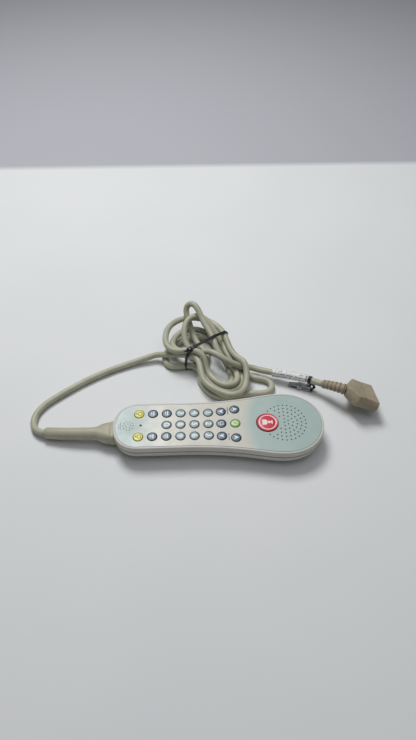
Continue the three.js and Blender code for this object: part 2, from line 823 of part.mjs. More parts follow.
function plugInsert() {
  const drop = hoodDrop(HOOD_LENGTH);
  const insert = forward(dOutline(10.8, 10, 2.8), HOOD_LENGTH - 6.4, HOOD_LENGTH - 0.2);
  const holes = contactPlaces().map((at) => rod(at, 0.65, HOOD_LENGTH - 3, HOOD_LENGTH + 1, 6));
  return cut(insert, ...holes).translate(0, 0, drop);
}

function plugContacts() {
  const drop = hoodDrop(HOOD_LENGTH);
  const bar = block([HOOD_LENGTH - 7.8, HOOD_LENGTH - 6.8], [-10, 10], [-2.4, 2.4]);
  const cups = contactPlaces().map((at) => rod(at, 0.6, HOOD_LENGTH - 9.6, HOOD_LENGTH - 7, 6));
  return join(bar, ...cups).translate(0, 0, drop);
}

function plugStrainRelief() {
  const curve = curveThrough(RELIEF_ROUTE);
  const ribs = 5;
  const stations = [];
  for (let i = 0; i < ribs; i++) {
    const start = i / ribs;
    const radius = 4.8 + 1.6 * start;
    stations.push([start, radius], [start + 0.6 / ribs, radius + 0.3]);
    if (i < ribs - 1) {
      stations.push([start + 0.66 / ribs, radius - 0.9], [start + 0.96 / ribs, radius - 0.8]);
    }
  }
  stations.push([1, 6]);
  const hoodAxis = new THREE.Vector3(1, 0, 0).applyEuler(plugTurn);
  return loft(
    stations.map(([t, radius]) => {
      const share = THREE.MathUtils.smoothstep(t, 0.5, 1);
      const along = curve.getTangentAt(t).lerp(hoodAxis, share).normalize();
      return placed(polygon(radius, 10), curve.getPointAt(t), along);
    }),
  );
}

// ---------------------------------------------------------------- assembly
const handController = new THREE.Group();

function addPart(name, geometry, material, parent = handController) {
  const mesh = new THREE.Mesh(geometry, material);
  mesh.name = name;
  parent.add(mesh);
}

addPart("rear_housing", rearHousing(), CASE_PLASTIC);
addPart("front_housing", frontHousing(), CASE_PLASTIC);
addPart("housing_seal", housingSeal(), SEAL_RUBBER);
addPart("face_overlay", faceOverlay(), OVERLAY_FILM);
for (const [name, x, y, material] of KEYS) {
  addPart(name, keyCap(x, y, KEY_RADIUS, KEY_TOP, KEY_SIDES), material);
}
addPart("call_button", keyCap(CALL_X, 0, CALL_RADIUS, CALL_TOP, CALL_SIDES), RED_KEY);
const lamp = post([LAMP_X, 0], LAMP_HOLE_RADIUS - GAP, DOME_SHEET_TOP + GAP, 23.6, LAMP_SIDES);
addPart("indicator_lamp", lamp, DARK_PLASTIC);

addPart("dome_sheet", domeSheet(), STEEL);
addPart("main_board", plateInside(BOARD_INSET, BOARD_BOTTOM, BOARD_TOP, 4.6), BOARD_GREEN);
addPart("wire_header", block([-86, -80], [-6, 6], [6.5, BOARD_BOTTOM - GAP]), DARK_PLASTIC);
const wireCurve = curveThrough([
  [-99.4, 0, 8.8],
  [-95, 0, 8.8],
  [-91, 0, 8.8],
  [-86.3, 0, 8.8],
]);
addPart("cord_wires", tube(wireCurve, 2.3, 6), CORD_PVC);
const clampBar = cut(
  block([-96.5, -91.5], [-11, 11], [11.6, 14.1]),
  ...CLAMP_SCREWS.map((at) => post(at, 1.4, 10, 16, 12)),
);
addPart("cord_clamp", clampBar, DARK_PLASTIC);
CLAMP_SCREWS.forEach((at, i) => addPart(`clamp_screw_${i + 1}`, clampScrew(at), STEEL));
CASE_SCREWS.forEach((at, i) => {
  addPart(`case_screw_${i + 1}`, screw(at, 2.8, 0.4, 2.7, 1.3, 19.4), STEEL);
});

addPart("speaker_frame", speakerFrame(), STEEL);
addPart("speaker_magnet", post([SPEAKER_X, 0], 7.8, 4, 11, 20), DARK_PLASTIC);
addPart("speaker_cone", speakerCone(), DARK_PLASTIC);
addPart(
  "speaker_gasket",
  ring([SPEAKER_X, 0], 15.2, 13.4, 17.1, DECK_BOTTOM - GAP, 24),
  SEAL_RUBBER,
);

addPart("cord_boot", cordBoot(), CORD_PVC);
const cordRadius = CORD_DIAMETER / 2;
addPart("cord_lead", tube(leadCurve, cordRadius, 16), CORD_PVC);
addPart("cord_hank", cordHank(), CORD_PVC);
addPart("cord_side_loop", tube(sideLoopCurve, cordRadius, 9), CORD_PVC);
addPart("cord_tail", tube(tailCurve, cordRadius, 8), CORD_PVC);
addPart("cable_tie", cableTie(), BLACK_NYLON);
addPart("cord_label", wrap(tailCurve, 4.05, 4.9, 4, LABEL_SPAN), LABEL_PAPER);

const clip = new THREE.Group();
clip.position.set(CLIP_AT[0], CLIP_AT[1], 0);
clip.rotation.z = CLIP_YAW;
handController.add(clip);
addPart("clip_base", clipBase(), STEEL, clip);
addPart("clip_jaw", clipJaw(), STEEL, clip);
const pin = new THREE.CylinderGeometry(0.8, 0.8, 8, 12).translate(0, 0, CLIP_PIN_Z);
addPart("clip_pin", pin, STEEL, clip);
addPart("clip_spring", clipSpring(), STEEL, clip);
addPart("clip_strap", clipStrap(), BLACK_NYLON);

const plug = new THREE.Group();
plug.position.set(...PLUG_AT);
plug.rotation.copy(plugTurn);
handController.add(plug);
addPart("plug_hood", plugHood(), HOOD_PVC, plug);
addPart("plug_shell", plugShell(), STEEL, plug);
addPart("plug_insert", plugInsert(), DARK_PLASTIC, plug);
addPart("plug_contacts", plugContacts(), BRASS, plug);
addPart("plug_strain_relief", plugStrainRelief(), HOOD_PVC);

export default handController;
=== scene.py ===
"""Bedside hand controller: the looks of its handset, tied cord, label, sheet clip and wall plug."""

import bmesh
import bpy
import numpy as np
from mathutils import Euler, Matrix, Vector


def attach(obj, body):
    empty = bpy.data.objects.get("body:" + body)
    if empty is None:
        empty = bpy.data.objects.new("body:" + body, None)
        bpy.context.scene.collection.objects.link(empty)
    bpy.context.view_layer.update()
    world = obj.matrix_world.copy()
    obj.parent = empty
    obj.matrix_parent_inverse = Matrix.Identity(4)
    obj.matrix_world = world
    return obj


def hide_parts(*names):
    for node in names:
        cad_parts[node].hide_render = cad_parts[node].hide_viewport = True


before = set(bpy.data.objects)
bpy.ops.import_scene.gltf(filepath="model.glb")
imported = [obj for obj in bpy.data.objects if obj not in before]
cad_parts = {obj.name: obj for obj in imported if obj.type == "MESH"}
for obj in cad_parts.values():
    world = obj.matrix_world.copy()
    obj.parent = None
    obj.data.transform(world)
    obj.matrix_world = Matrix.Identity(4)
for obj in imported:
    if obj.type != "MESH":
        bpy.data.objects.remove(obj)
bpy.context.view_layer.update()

# ---------------------------------------------------------------- camera
# It stands over the near side of the handset and looks down on the key face at 49 degrees.
MM = 0.001

dip, heading = np.radians(48.97), np.radians(1.58)
sight = Vector((np.sin(heading) * np.cos(dip), np.cos(heading) * np.cos(dip), -np.sin(dip)))
camera_data = bpy.data.cameras.new("camera")
camera_data.sensor_width = 36
camera_data.lens = 28.7
camera = bpy.data.objects.new("camera", camera_data)
camera.location = (-20.9 * MM, -360.5 * MM, 524 * MM)
camera.rotation_mode = "QUATERNION"
camera.rotation_quaternion = sight.to_track_quat("-Z", "Y")
bpy.context.scene.collection.objects.link(camera)
bpy.context.scene.camera = camera
bpy.context.scene.view_settings.view_transform = "Standard"


# ---------------------------------------------------------------- floor and light
# A sheet of white studio paper on a grey bench, under a large soft lamp behind the handset
# and a pale room that fills the shadows.
def paint(red, green, blue):
    """A screen colour, 0 to 255 a channel, as the linear colour that a shader takes."""
    share = np.array([red, green, blue]) / 255
    linear = np.where(share <= 0.04045, share / 12.92, ((share + 0.055) / 1.055) ** 2.4)
    return (*[float(channel) for channel in linear], 1.0)


def start_finish(name):
    """A new node material: the material, its tree, its main shader and the place on the piece."""
    material = bpy.data.materials.new(name)
    material.use_nodes = True
    tree = material.node_tree
    place = tree.nodes.new("ShaderNodeTexCoord").outputs["Object"]
    return material, tree, tree.nodes["Principled BSDF"], place


def cloud(tree, place, size, detail=2.0):
    """Soft random patches from 0 to 1, about size millimetres across."""
    noise = tree.nodes.new("ShaderNodeTexNoise")
    noise.inputs["Scale"].default_value = 1 / (size * MM)
    noise.inputs["Detail"].default_value = detail
    tree.links.new(place, noise.inputs["Vector"])
    return noise.outputs["Fac"]


def spread(tree, value, from_low, from_high, to_low, to_high):
    """Stretches a value from one range to another and keeps it inside the new one."""
    stretch = tree.nodes.new("ShaderNodeMapRange")
    ends = [from_low, from_high, to_low, to_high]
    for socket, number in zip(["From Min", "From Max", "To Min", "To Max"], ends):
        stretch.inputs[socket].default_value = number
    tree.links.new(value, stretch.inputs["Value"])
    return stretch.outputs["Result"]


def patchy(tree, place, size, low, high, detail=2.0):
    """Soft patches, about size millimetres across, that run from low to high."""
    return spread(tree, cloud(tree, place, size, detail), 0.3, 0.7, low, high)


def mixed(tree, share, first, second):
    """One colour turning into another as share goes from 0 to 1; either may be a colour or a socket."""
    mix = tree.nodes.new("ShaderNodeMix")
    mix.data_type = "RGBA"
    tree.links.new(share, mix.inputs[0])
    for socket, colour in ((mix.inputs[6], first), (mix.inputs[7], second)):
        if isinstance(colour, tuple):
            socket.default_value = colour
        else:
            tree.links.new(colour, socket)
    return mix.outputs[2]


def raise_grain(tree, shader, height, depth, strength=1.0):
    """Surface relief depth millimetres deep from a height that runs from 0 to 1."""
    bump = tree.nodes.new("ShaderNodeBump")
    bump.inputs["Strength"].default_value = strength
    bump.inputs["Distance"].default_value = depth * MM
    tree.links.new(height, bump.inputs["Height"])
    tree.links.new(bump.outputs["Normal"], shader.inputs["Normal"])


def paper_finish():
    """White paper with faint clouding, and the grey bench past its far edge."""
    material, tree, shader, place = start_finish("studio_paper")
    white = mixed(tree, cloud(tree, place, 180), paint(222, 225, 226), paint(230, 231, 231))
    split = tree.nodes.new("ShaderNodeSeparateXYZ")
    tree.links.new(place, split.inputs["Vector"])
    paper_edge = 0.55
    past_edge = spread(tree, split.outputs["Y"], paper_edge - 0.005, paper_edge + 0.01, 0, 1)
    colour = mixed(tree, past_edge, white, paint(180, 181, 187))
    tree.links.new(colour, shader.inputs["Base Color"])
    shader.inputs["Roughness"].default_value = 0.75
    raise_grain(tree, shader, cloud(tree, place, 1.2, 4), 0.02)
    return material


def linked_mesh(name, points, faces):
    """A mesh object with its points in millimetres in the frame, at the origin of the scene."""
    mesh = bpy.data.meshes.new(name)
    mesh.from_pydata((np.asarray(points) * MM).tolist(), [], faces)
    mesh.validate()
    thing = bpy.data.objects.new(name, mesh)
    bpy.context.scene.collection.objects.link(thing)
    return thing


FLOOR_REACH, FLOOR_HEIGHT = 4000, -0.3
SQUARE = ((-1, -1), (1, -1), (1, 1), (-1, 1))
floor_corners = [(x * FLOOR_REACH, y * FLOOR_REACH, FLOOR_HEIGHT) for x, y in SQUARE]
floor = linked_mesh("floor", floor_corners, [(0, 1, 2, 3)])
floor.data.materials.append(paper_finish())


def soft_lamp(name, place, size, power, aim=(0, 0.05, 0)):
    """A square lamp of that size in metres, turned to face its aim."""
    data = bpy.data.lights.new(name, "AREA")
    data.size = size
    data.energy = power
    lamp = bpy.data.objects.new(name, data)
    lamp.location = place
    lamp.rotation_mode = "QUATERNION"
    lamp.rotation_quaternion = (Vector(aim) - Vector(place)).to_track_quat("-Z", "Y")
    bpy.context.scene.collection.objects.link(lamp)


soft_lamp("lamp_behind", (-0.3, 0.8, 1.35), 0.6, 15.8)
soft_lamp("lamp_overhead", (0.15, -0.05, 1.6), 1.2, 4.8)
room = bpy.data.worlds.new("room")
room.use_nodes = True
room.node_tree.nodes["Background"].inputs["Color"].default_value = paint(226, 231, 238)
room.node_tree.nodes["Background"].inputs["Strength"].default_value = 0.15
bpy.context.scene.world = room

# ---------------------------------------------------------------- cord
# A 7.2 mm PVC-sheathed cable, 1.87 m from the boot's sleeve to the plug: it sweeps back beside the
# handset, is folded five times into a hank with one small loop pulled out, and leaves for the plug.
CORD_DIAMETER = 7.2
CORD_RADIUS = CORD_DIAMETER / 2
LEAD_ROUTE = [
    [-184.3, 5.28, 7.15], [-190, 7.2, 6.3], [-195.5, 11.6, 5.2], [-198.8, 18.5, 4.2], [-199.4, 27, 3.8],
    [-196.8, 36.5, 3.7], [-190.5, 46, 3.7], [-181, 55, 3.7], [-168, 65.5, 3.7], [-151, 78, 3.7],
    [-133, 89, 3.7], [-113, 99, 3.8], [-94, 106.5, 4.6], [-80, 110.8, 6.4], [-68.5, 113.4, 8.4],
]
SIDE_LOOP_ROUTE = [
    [41.2, 57.5, 3.7], [49, 55.4, 3.7], [57, 56.8, 3.7], [62.2, 62.6, 3.7],
    [62.4, 69.6, 3.7], [57.6, 75, 3.8], [50, 77.2, 4.2], [43.6, 77.6, 5],
]
TAIL_ROUTE = [
    [41.5, 90, 9], [52, 86.4, 8.4], [64, 81.6, 9.8], [83, 74.6, 12.2], [102, 66.8, 13.8], [118.3, 57.8, 15.4],
]
TIE_CENTRE = np.array([-9.5, 116.0])
TIE_YAW = np.radians(39)
HANK_MIDDLE = np.array([-7, 112])
HANK_AXIS = np.array([-0.431, 0.902])  # from the handset to the far end of the hank
HANK_SIDE = np.array([-0.902, -0.431])  # and across it, to the left

# Each turn of the hank: how far its near and far lobes reach from the tie, half the near lobe's width,
# how far the far lobe stands out to the left and right, and the heights at the near lobe, right side,
# far lobe, left side and under the tie. A far lobe that stands up is narrower at its top (upright) and
# leans to one side (lean); inward is how far the turn closes in, as it comes back to the tie.
TURNS = [
    dict(near=72, near_wide=28, far=57, left=42, right=26, heights=(15, 22, 24, 28, 20)),
    dict(near=54, near_wide=20, far=61, left=3, right=10, heights=(12, 26, 41, 8, 27), upright=2.2, lean=0.8),
    dict(near=60, near_wide=25, far=47, left=18, right=22, heights=(9, 17, 31, 14, 9)),
    dict(near=47, near_wide=18, far=38, left=48, right=19, heights=(6, 8, 6, 4, 14), inward=0.62),
    dict(near=68, near_wide=25, far=47, left=33, right=22, heights=(3.7, 4, 12, 18, 5)),
]


def turn_route(near, near_wide, far, left, right, heights, upright=1.0, lean=1.0, inward=0.45):
    """One turn of the hank: an arc of an ellipse for the near lobe, from the left under the tie round to
    the right, then half an ellipse for the far lobe. Along the far lobe the height runs evenly from the
    right side's to the left's, plus a swell: the sine of the share of the lobe, that share raised to
    lean and the sine to upright."""
    near_height, right_height, far_height, left_height, tie_height = heights
    around = np.radians([-62, -38, -14, 10, 34, 58])
    lobe = np.stack(
        [-near * np.cos(around) ** 0.8, -1.02 * near_wide * np.sin(around), np.full(6, near_height)], 1
    )
    back = np.radians([40, 68, 96, 124, 150, 176])
    share = back / np.pi
    swell = (far_height - (right_height + left_height) / 2) * np.sin(np.pi * share**lean) ** upright
    half = np.stack(
        [
            6 + (far - 6) * np.sin(back) ** 0.75,
            (left - right) / 2 - (left + right) / 2 * np.sign(np.cos(back)) * np.abs(np.cos(back)) ** 0.85,
            (1 - share) * right_height + share * left_height + swell,
        ],
        1,
    )
    rows = [
        [[-10, 0.72 * near_wide, tie_height]],
        lobe,
        [[-15, -0.8 * right, (near_height + right_height) / 2], [6, -right, right_height]],
        half,
        [[-2, inward * left, left_height]],
    ]
    local = np.vstack(rows)
    flat = HANK_MIDDLE + local[:, :1] * HANK_AXIS + local[:, 1:2] * HANK_SIDE
    return np.hstack([flat, local[:, 2:]])


def hank_route():
    """The whole route: the lead, the turns one after another, the loop pulled out of the last one,
    the run over the waist of the hank, and the tail."""
    into_tie = [[-54, 109, 13], [-41, 105.5, 17], [-30, 100, 20]]
    to_side_loop, from_side_loop = [[22, 53, 3.7]], [[37.5, 86, 7], [31, 97, 9]]
    over_waist = [[-25, 106, 21], [-13, 103, 26], [0, 97, 28], [14, 90.5, 23], [27, 87.5, 15]]
    *turns, last = [turn_route(**turn) for turn in TURNS]
    parts = [LEAD_ROUTE, into_tie, *turns, last[:4], to_side_loop, SIDE_LOOP_ROUTE, from_side_loop]
    return np.vstack([*parts, last[8:-1], over_waist, TAIL_ROUTE])


def smooth_line(points, step):
    """Centripetal Catmull-Rom curve through the points, then cut into even pieces about step long."""
    points = np.asarray(points, float)
    ends = np.vstack([2 * points[0] - points[1], points, 2 * points[-1] - points[-2]])
    knots = np.concatenate([[0], np.cumsum(np.sqrt(np.linalg.norm(np.diff(ends, axis=0), axis=1)))])
    line = []
    for i in range(1, len(points)):
        p, k = ends[i - 1 : i + 3], knots[i - 1 : i + 3]
        t = np.linspace(k[1], k[2], 24, endpoint=False)[:, None]
        first = [(p[j] * (k[j + 1] - t) + p[j + 1] * (t - k[j])) / (k[j + 1] - k[j]) for j in range(3)]
        second = [
            (first[j] * (k[j + 2] - t) + first[j + 1] * (t - k[j])) / (k[j + 2] - k[j]) for j in range(2)
        ]
        line.append((second[0] * (k[2] - t) + second[1] * (t - k[1])) / (k[2] - k[1]))
    line = np.vstack(line + [points[-1:]])
    along = np.concatenate([[0], np.cumsum(np.linalg.norm(np.diff(line, axis=0), axis=1))])
    even = np.linspace(0, along[-1], int(round(along[-1] / step)) + 1)
    return np.stack([np.interp(even, along, line[:, axis]) for axis in range(3)], 1)


def floor_under(line):
    """The lowest the cord's middle can lie: its radius, and near the tie a bell curve of the distance
    from it, because the strap lies under the cord there."""
    strap_lift, strap_reach = 1.8, 14
    away = (line[:, 1] - TIE_CENTRE[1]) * np.cos(TIE_YAW) - (line[:, 0] - TIE_CENTRE[0]) * np.sin(TIE_YAW)
    return CORD_RADIUS + strap_lift * np.exp(-((away / strap_reach) ** 2))


def settle(line, free, rounds):
    """Lets the laid cord come to rest: in each round it stiffens towards straight, sinks, is pushed off
    itself where it lies closer than a diameter, keeps its length and stays on the floor."""
    stiffness, memory, sink, push_share = 0.45, 0.02, 0.015, 1.5
    laid, line, count = line.copy(), line.copy(), len(line)
    piece = np.linalg.norm(np.diff(line, axis=0), axis=1).mean()
    order = np.arange(count)
    apart = np.abs(order[:, None] - order[None]) > np.ceil(1.9 * CORD_DIAMETER / piece)
    later = order[:, None] < order[None]
    touch = 1.02 * CORD_DIAMETER
    loose = free[:, None].astype(float)
    for number in range(rounds):
        bend = np.zeros_like(line)
        bend[1:-1] = (line[:-2] + line[2:]) / 2 - line[1:-1]
        kink = np.zeros_like(line)
        kink[2:-2] = (bend[1:-3] + bend[3:-1]) / 2 - bend[2:-2]
        line += loose * (memory * (1 - number / rounds) * (laid - line) - stiffness * kink)
        line[:, 2] -= sink * free
        square = (line * line).sum(1)
        gap = square[:, None] + square[None] - 2 * line @ line.T
        one, other = np.nonzero((gap < touch**2) & apart & later)
        between = line[one] - line[other]
        distance = np.linalg.norm(between, axis=1, keepdims=True) + 1e-9
        part = between / distance * (touch - distance) / 2
        push, hits = np.zeros_like(line), np.zeros(count)
        for ends, way in ((one, part), (other, -part)):
            np.add.at(push, ends, way)
            np.add.at(hits, ends, 1)
        line += loose * push_share * push / np.maximum(hits, 1)[:, None]
        for start in (0, 1) * 4:
            low = np.arange(start, count - 1, 2)
            step = line[low + 1] - line[low]
            long = np.linalg.norm(step, axis=1, keepdims=True)
            fix = (long - piece) / long / 2 * step
            line[low] += loose[low] * fix
            line[low + 1] -= loose[low + 1] * fix
        line[:, 2] = np.where(free, np.maximum(line[:, 2], floor_under(line)), line[:, 2])
    return line


def even_frames(line):
    """Directions along, sideways and up for each point of a line that is never quite upright."""
    along = np.gradient(line, axis=0)
    along /= np.linalg.norm(along, axis=1, keepdims=True)
    side = np.cross([0, 0, 1], along)
    side /= np.linalg.norm(side, axis=1, keepdims=True)
    return along, side, np.cross(along, side)


def skin(name, rows, capped=True):
    """Rows of points, each a ring round the piece, joined into one closed skin of four-sided faces.
    Capped closes the first and last ring with a fan; a skin that isn't capped joins its last row to its
    first, as a hoop does. The UV map runs round each ring and along the rows, and all faces point out."""
    rows = np.asarray(rows, float)
    count, around = rows.shape[:2]
    points = rows.reshape(-1, 3)
    steps = count - 1 if capped else count
    row, column = np.meshgrid(np.arange(steps), np.arange(around), indexing="ij")
    row, column = row.ravel(), column.ravel()
    beyond, beside = (row + 1) % count, (column + 1) % around
    quads = np.stack(
        [row * around + column, row * around + beside, beyond * around + beside, beyond * around + column], 1
    )
    faces = quads.tolist()
    if capped:
        points = np.vstack([points, rows[0].mean(0), rows[-1].mean(0)])
        ring = np.arange(around)
        after = (ring + 1) % around
        last = (count - 1) * around
        faces += np.stack([np.full(around, len(points) - 2), after, ring], 1).tolist()
        faces += np.stack([np.full(around, len(points) - 1), last + ring, last + after], 1).tolist()
    a, b, c, d = (points[quads[:, k]] for k in range(4))
    volume = (a * np.cross(b, c)).sum() + (a * np.cross(c, d)).sum()
    if capped:
        fans = np.array(faces[len(quads) :])
        volume += (points[fans[:, 0]] * np.cross(points[fans[:, 1]], points[fans[:, 2]])).sum()
    if volume < 0:
        faces = [face[::-1] for face in faces]
    mesh = bpy.data.meshes.new(name)
    mesh.from_pydata((points * MM).tolist(), [], faces)
    uv = mesh.uv_layers.new(name="UVMap")
    corner = np.zeros(len(mesh.loops), np.int32)
    mesh.loops.foreach_get("vertex_index", corner)
    on_ring = corner < count * around
    u = np.where(on_ring, (corner % around) / around, 0.5)
    v = np.where(on_ring, (corner // around) / max(count - 1, 1), (corner - count * around).clip(0, 1))
    uv.data.foreach_set("uv", np.stack([u, v], 1).astype(np.float32).ravel())
    mesh.shade_smooth()
    thing = bpy.data.objects.new(name, mesh)
    bpy.context.scene.collection.objects.link(thing)
    return thing


def tube(name, line, radius, sides=16):
    """A round section carried along a line; radius is one number or one for each point of the line."""
    _, side, up = even_frames(line)
    angle = np.arange(sides) * 2 * np.pi / sides
    reach = np.broadcast_to(radius, len(line))[:, None, None]
    rows = line[:, None] + reach * (
        np.cos(angle)[None, :, None] * side[:, None] + np.sin(angle)[None, :, None] * up[:, None]
    )
    return skin(name, rows)


def moulded_finish(name, light, dark, patch, rough, grain, depth):
    """Moulded plastic: two close shades in soft patches, polish that varies in smaller ones, fine grain."""
    material, tree, shader, place = start_finish(name)
    patches = patchy(tree, place, patch, 0, 1, 3)
    tree.links.new(mixed(tree, patches, light, dark), shader.inputs["Base Color"])
    rubbed = spread(tree, cloud(tree, place, patch * 0.4, 3), 0.25, 0.75, *rough)
    tree.links.new(rubbed, shader.inputs["Roughness"])
    raise_grain(tree, shader, cloud(tree, place, grain, 3), depth)
    return material


def fit_piece(thing, finish, slot, *nodes, body="handset"):
    """Gives a piece its finish and lets it ride on its body in place of those CAD nodes; slot is not used."""
    thing.data.materials.append(finish)
    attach(thing, body)
    if nodes:
        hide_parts(*nodes)
    return thing


LEAD_LAID, TAIL_LAID = 318, 86  # lengths at the two ends that already lie at rest
cord_finish = moulded_finish(
    "cord_pvc", paint(186, 186, 166), paint(172, 171, 149), 14, (0.36, 0.52), 0.5, 0.03
)
route = hank_route()
laid = smooth_line(route, 3.4)
travel = np.concatenate([[0], np.cumsum(np.linalg.norm(np.diff(laid, axis=0), axis=1))])
hank_free = (travel > LEAD_LAID) & (travel < travel[-1] - TAIL_LAID)
cord_line = settle(laid, hank_free, 400)
fine_line = smooth_line(cord_line, 1.8)
cord = tube("cord", fine_line, CORD_RADIUS)
fit_piece(cord, cord_finish, "cord_pvc", "cord_lead", "cord_hank", "cord_side_loop", "cord_tail")

# ---------------------------------------------------------------- cord boot
# One soft PVC moulding: a square block that plugs into the tail of the case behind a shallow groove,
# narrowing to a long sleeve over the first of the cord.
BOOT_SECTIONS = [  # where along the cord, sideways, height, width, depth and corner radius of each section
    (-104, 0, 11.5, 24, 16, 4.6), (-112.4, 0, 11.5, 24, 16, 4.6), (-113, 0, 11.5, 23.7, 15.7, 4.8),
    (-113.5, 0, 11.5, 22.6, 14.8, 4.8), (-114.6, 0, 11.5, 22.6, 14.8, 4.8), (-115.1, 0, 11.5, 23, 15.4, 6),
    (-117, 0, 11.5, 22.8, 15.4, 6.2), (-120, 0, 11.5, 21.7, 15.1, 6.4), (-123, 0, 11.5, 19.6, 14.6, 6.4),
    (-126, 0.05, 11.45, 16, 13.9, 6.4), (-128.5, 0.1, 11.4, 13.9, 13.4, 6.5),
    (-132, 0.2, 11.3, 13.2, 13.1, 6.5), (-140, 0.4, 11, 13, 13, 6.45), (-150, 1, 10.4, 12.9, 12.9, 6.4),
    (-160, 1.8, 9.6, 12.8, 12.8, 6.35), (-168, 2.8, 8.8, 12.7, 12.7, 6.3), (-176, 4, 7.8, 12.5, 12.5, 6.2),
    (-181, 4.75, 7.35, 12.2, 12.2, 6.05), (-183.4, 5.1, 7.22, 11.6, 11.6, 5.75),
    (-183.9, 5.2, 7.2, 10.6, 10.6, 5.2), (-184, 5.22, 7.19, 7.4, 7.4, 3.6),
]


def rounded_ring(width, depth, corner, steps=8):
    """A rectangle with quarter-circle corners, once round, steps points to a corner: across and up."""
    turn = (np.arange(4)[:, None] + np.linspace(0, 1, steps)[None]) * np.pi / 2
    sign_across = np.array([1, -1, -1, 1])[:, None]
    sign_up = np.array([1, 1, -1, -1])[:, None]
    across = sign_across * (width / 2 - corner) + corner * np.cos(turn)
    up = sign_up * (depth / 2 - corner) + corner * np.sin(turn)
    return np.stack([across.ravel(), up.ravel()], 1)


def set_square(ring, middle, side, up):
    """Carries a flat ring to a middle point, its first number sideways and its second upwards."""
    return middle + ring[:, :1] * side + ring[:, 1:2] * up


def rounded_loft(name, sections):
    """Rounded rectangles along a nearly straight axis, each square to the line through their middles."""
    middles = np.array([section[:3] for section in sections], float)
    _, side, up = even_frames(middles)
    rings = [rounded_ring(*section[3:]) for section in sections]
    return skin(name, [set_square(*parts) for parts in zip(rings, middles, side, up)])


def soften(thing, levels):
    """A subdivision surface, the same in the view and in the render."""
    smooth = thing.modifiers.new("soften", "SUBSURF")
    smooth.levels = levels
    smooth.render_levels = levels


boot_finish = moulded_finish(
    "boot_pvc", paint(184, 180, 160), paint(170, 165, 143), 16, (0.4, 0.56), 0.6, 0.04
)
boot = rounded_loft("cord_boot_moulding", BOOT_SECTIONS)
soften(boot, 1)
fit_piece(boot, boot_finish, "boot_pvc", "cord_boot")

# ---------------------------------------------------------------- handset case
# Two injection-moulded ABS shells: a boat-shaped rear shell and a front frame with a rounded rim,
# parted by a thin grey seal. The front frame carries the deck that the face film lies on.
CASE_ARCS = [  # four Bezier arcs from the tail tip along one side to the head tip, and the steps in each
    ([(-110, 0), (-110, 17.2), (-99.4, 29), (-84, 29)], 26),
    ([(-84, 29), (-68, 29), (-52, 28.8), (-36, 28.8)], 10),
    ([(-36, 28.8), (26, 28.8), (45.5, 38.7), (67.5, 38.7)], 26),
    ([(67.5, 38.7), (92.6, 38.7), (110, 22), (110, 0)], 30),
]


def case_outline(inset):
    """The case seen from above, once round counter-clockwise, moved in by inset square to its edge."""
    head_tip = [[110, 0]]
    half = []
    for controls, steps in CASE_ARCS:
        a, b, c, d = np.array(controls, float)
        t = np.linspace(0, 1, steps, endpoint=False)[:, None]
        half.append((1 - t) ** 3 * a + 3 * (1 - t) ** 2 * t * b + 3 * (1 - t) * t**2 * c + t**3 * d)
    half = np.vstack(half)
    mirrored = half[1:] * [1, -1]
    line = np.vstack([half[:1], mirrored, head_tip, half[:0:-1]])
    along = np.roll(line, -1, 0) - np.roll(line, 1, 0)
    along /= np.linalg.norm(along, axis=1, keepdims=True)
    return line + inset * np.stack([-along[:, 1], along[:, 0]], 1)


def case_rows(profile):
    """The case outline at each inset and height of a profile."""
    outlines = [case_outline(inset) for inset, _ in profile]
    return [np.column_stack([line, np.full(len(line), z)]) for line, (_, z) in zip(outlines, profile)]


def arc(middle, radii, start, end, steps):
    """Points on an ellipse between two angles in degrees."""
    turn = np.radians(np.linspace(start, end, steps))
    return [(middle[0] + radii[0] * np.cos(t), middle[1] + radii[1] * np.sin(t)) for t in turn]


def as_mesh(name, curve_data, shift, turn=0.0):
    """Turns a flat curve or text about Z, moves it by shift in millimetres and keeps it as a mesh."""
    draft = bpy.data.objects.new(name + "_draft", curve_data)
    bpy.context.scene.collection.objects.link(draft)
    bpy.context.view_layer.update()
    mesh = bpy.data.meshes.new_from_object(draft.evaluated_get(bpy.context.evaluated_depsgraph_get()))
    bpy.data.objects.remove(draft)
    shape = bmesh.new()
    shape.from_mesh(mesh)
    bmesh.ops.remove_doubles(shape, verts=shape.verts, dist=1e-6)
    bmesh.ops.recalc_face_normals(shape, faces=shape.faces)
    shape.to_mesh(mesh)
    shape.free()
    mesh.transform(Matrix.Translation(Vector(shift) * MM) @ Matrix.Rotation(turn, 4, "Z"))
    mesh.shade_smooth()
    mesh.set_sharp_from_angle(angle=np.radians(14))
    thing = bpy.data.objects.new(name, mesh)
    thing.data.name = name
    bpy.context.scene.collection.objects.link(thing)
    return thing


def flat_plate(name, outline, holes, low, high, edge):
    """A plate between two heights in millimetres, with holes, its upper and lower edges rounded:
    closed flat lines filled by a curve object, then made a mesh at its own height."""
    flat = bpy.data.curves.new(name, "CURVE")
    flat.dimensions = "2D"
    flat.fill_mode = "BOTH"
    for ring in [outline, *holes]:
        line = flat.splines.new("POLY")
        line.points.add(len(ring) - 1)
        places = np.column_stack([np.asarray(ring) * MM, np.zeros(len(ring)), np.ones(len(ring))])
        line.points.foreach_set("co", places.ravel())
        line.use_cyclic_u = True
    flat.extrude = ((high - low) / 2 - edge) * MM
    flat.bevel_depth = edge * MM
    flat.bevel_resolution = 2
    flat.offset = -edge * MM
    return as_mesh(name, flat, (0, 0, (high + low) / 2))


def circle(x, y, radius, steps=32):
    """A ring of points round a place."""
    turn = np.arange(steps) * 2 * np.pi / steps
    return np.stack([x + radius * np.cos(turn), y + radius * np.sin(turn)], 1)


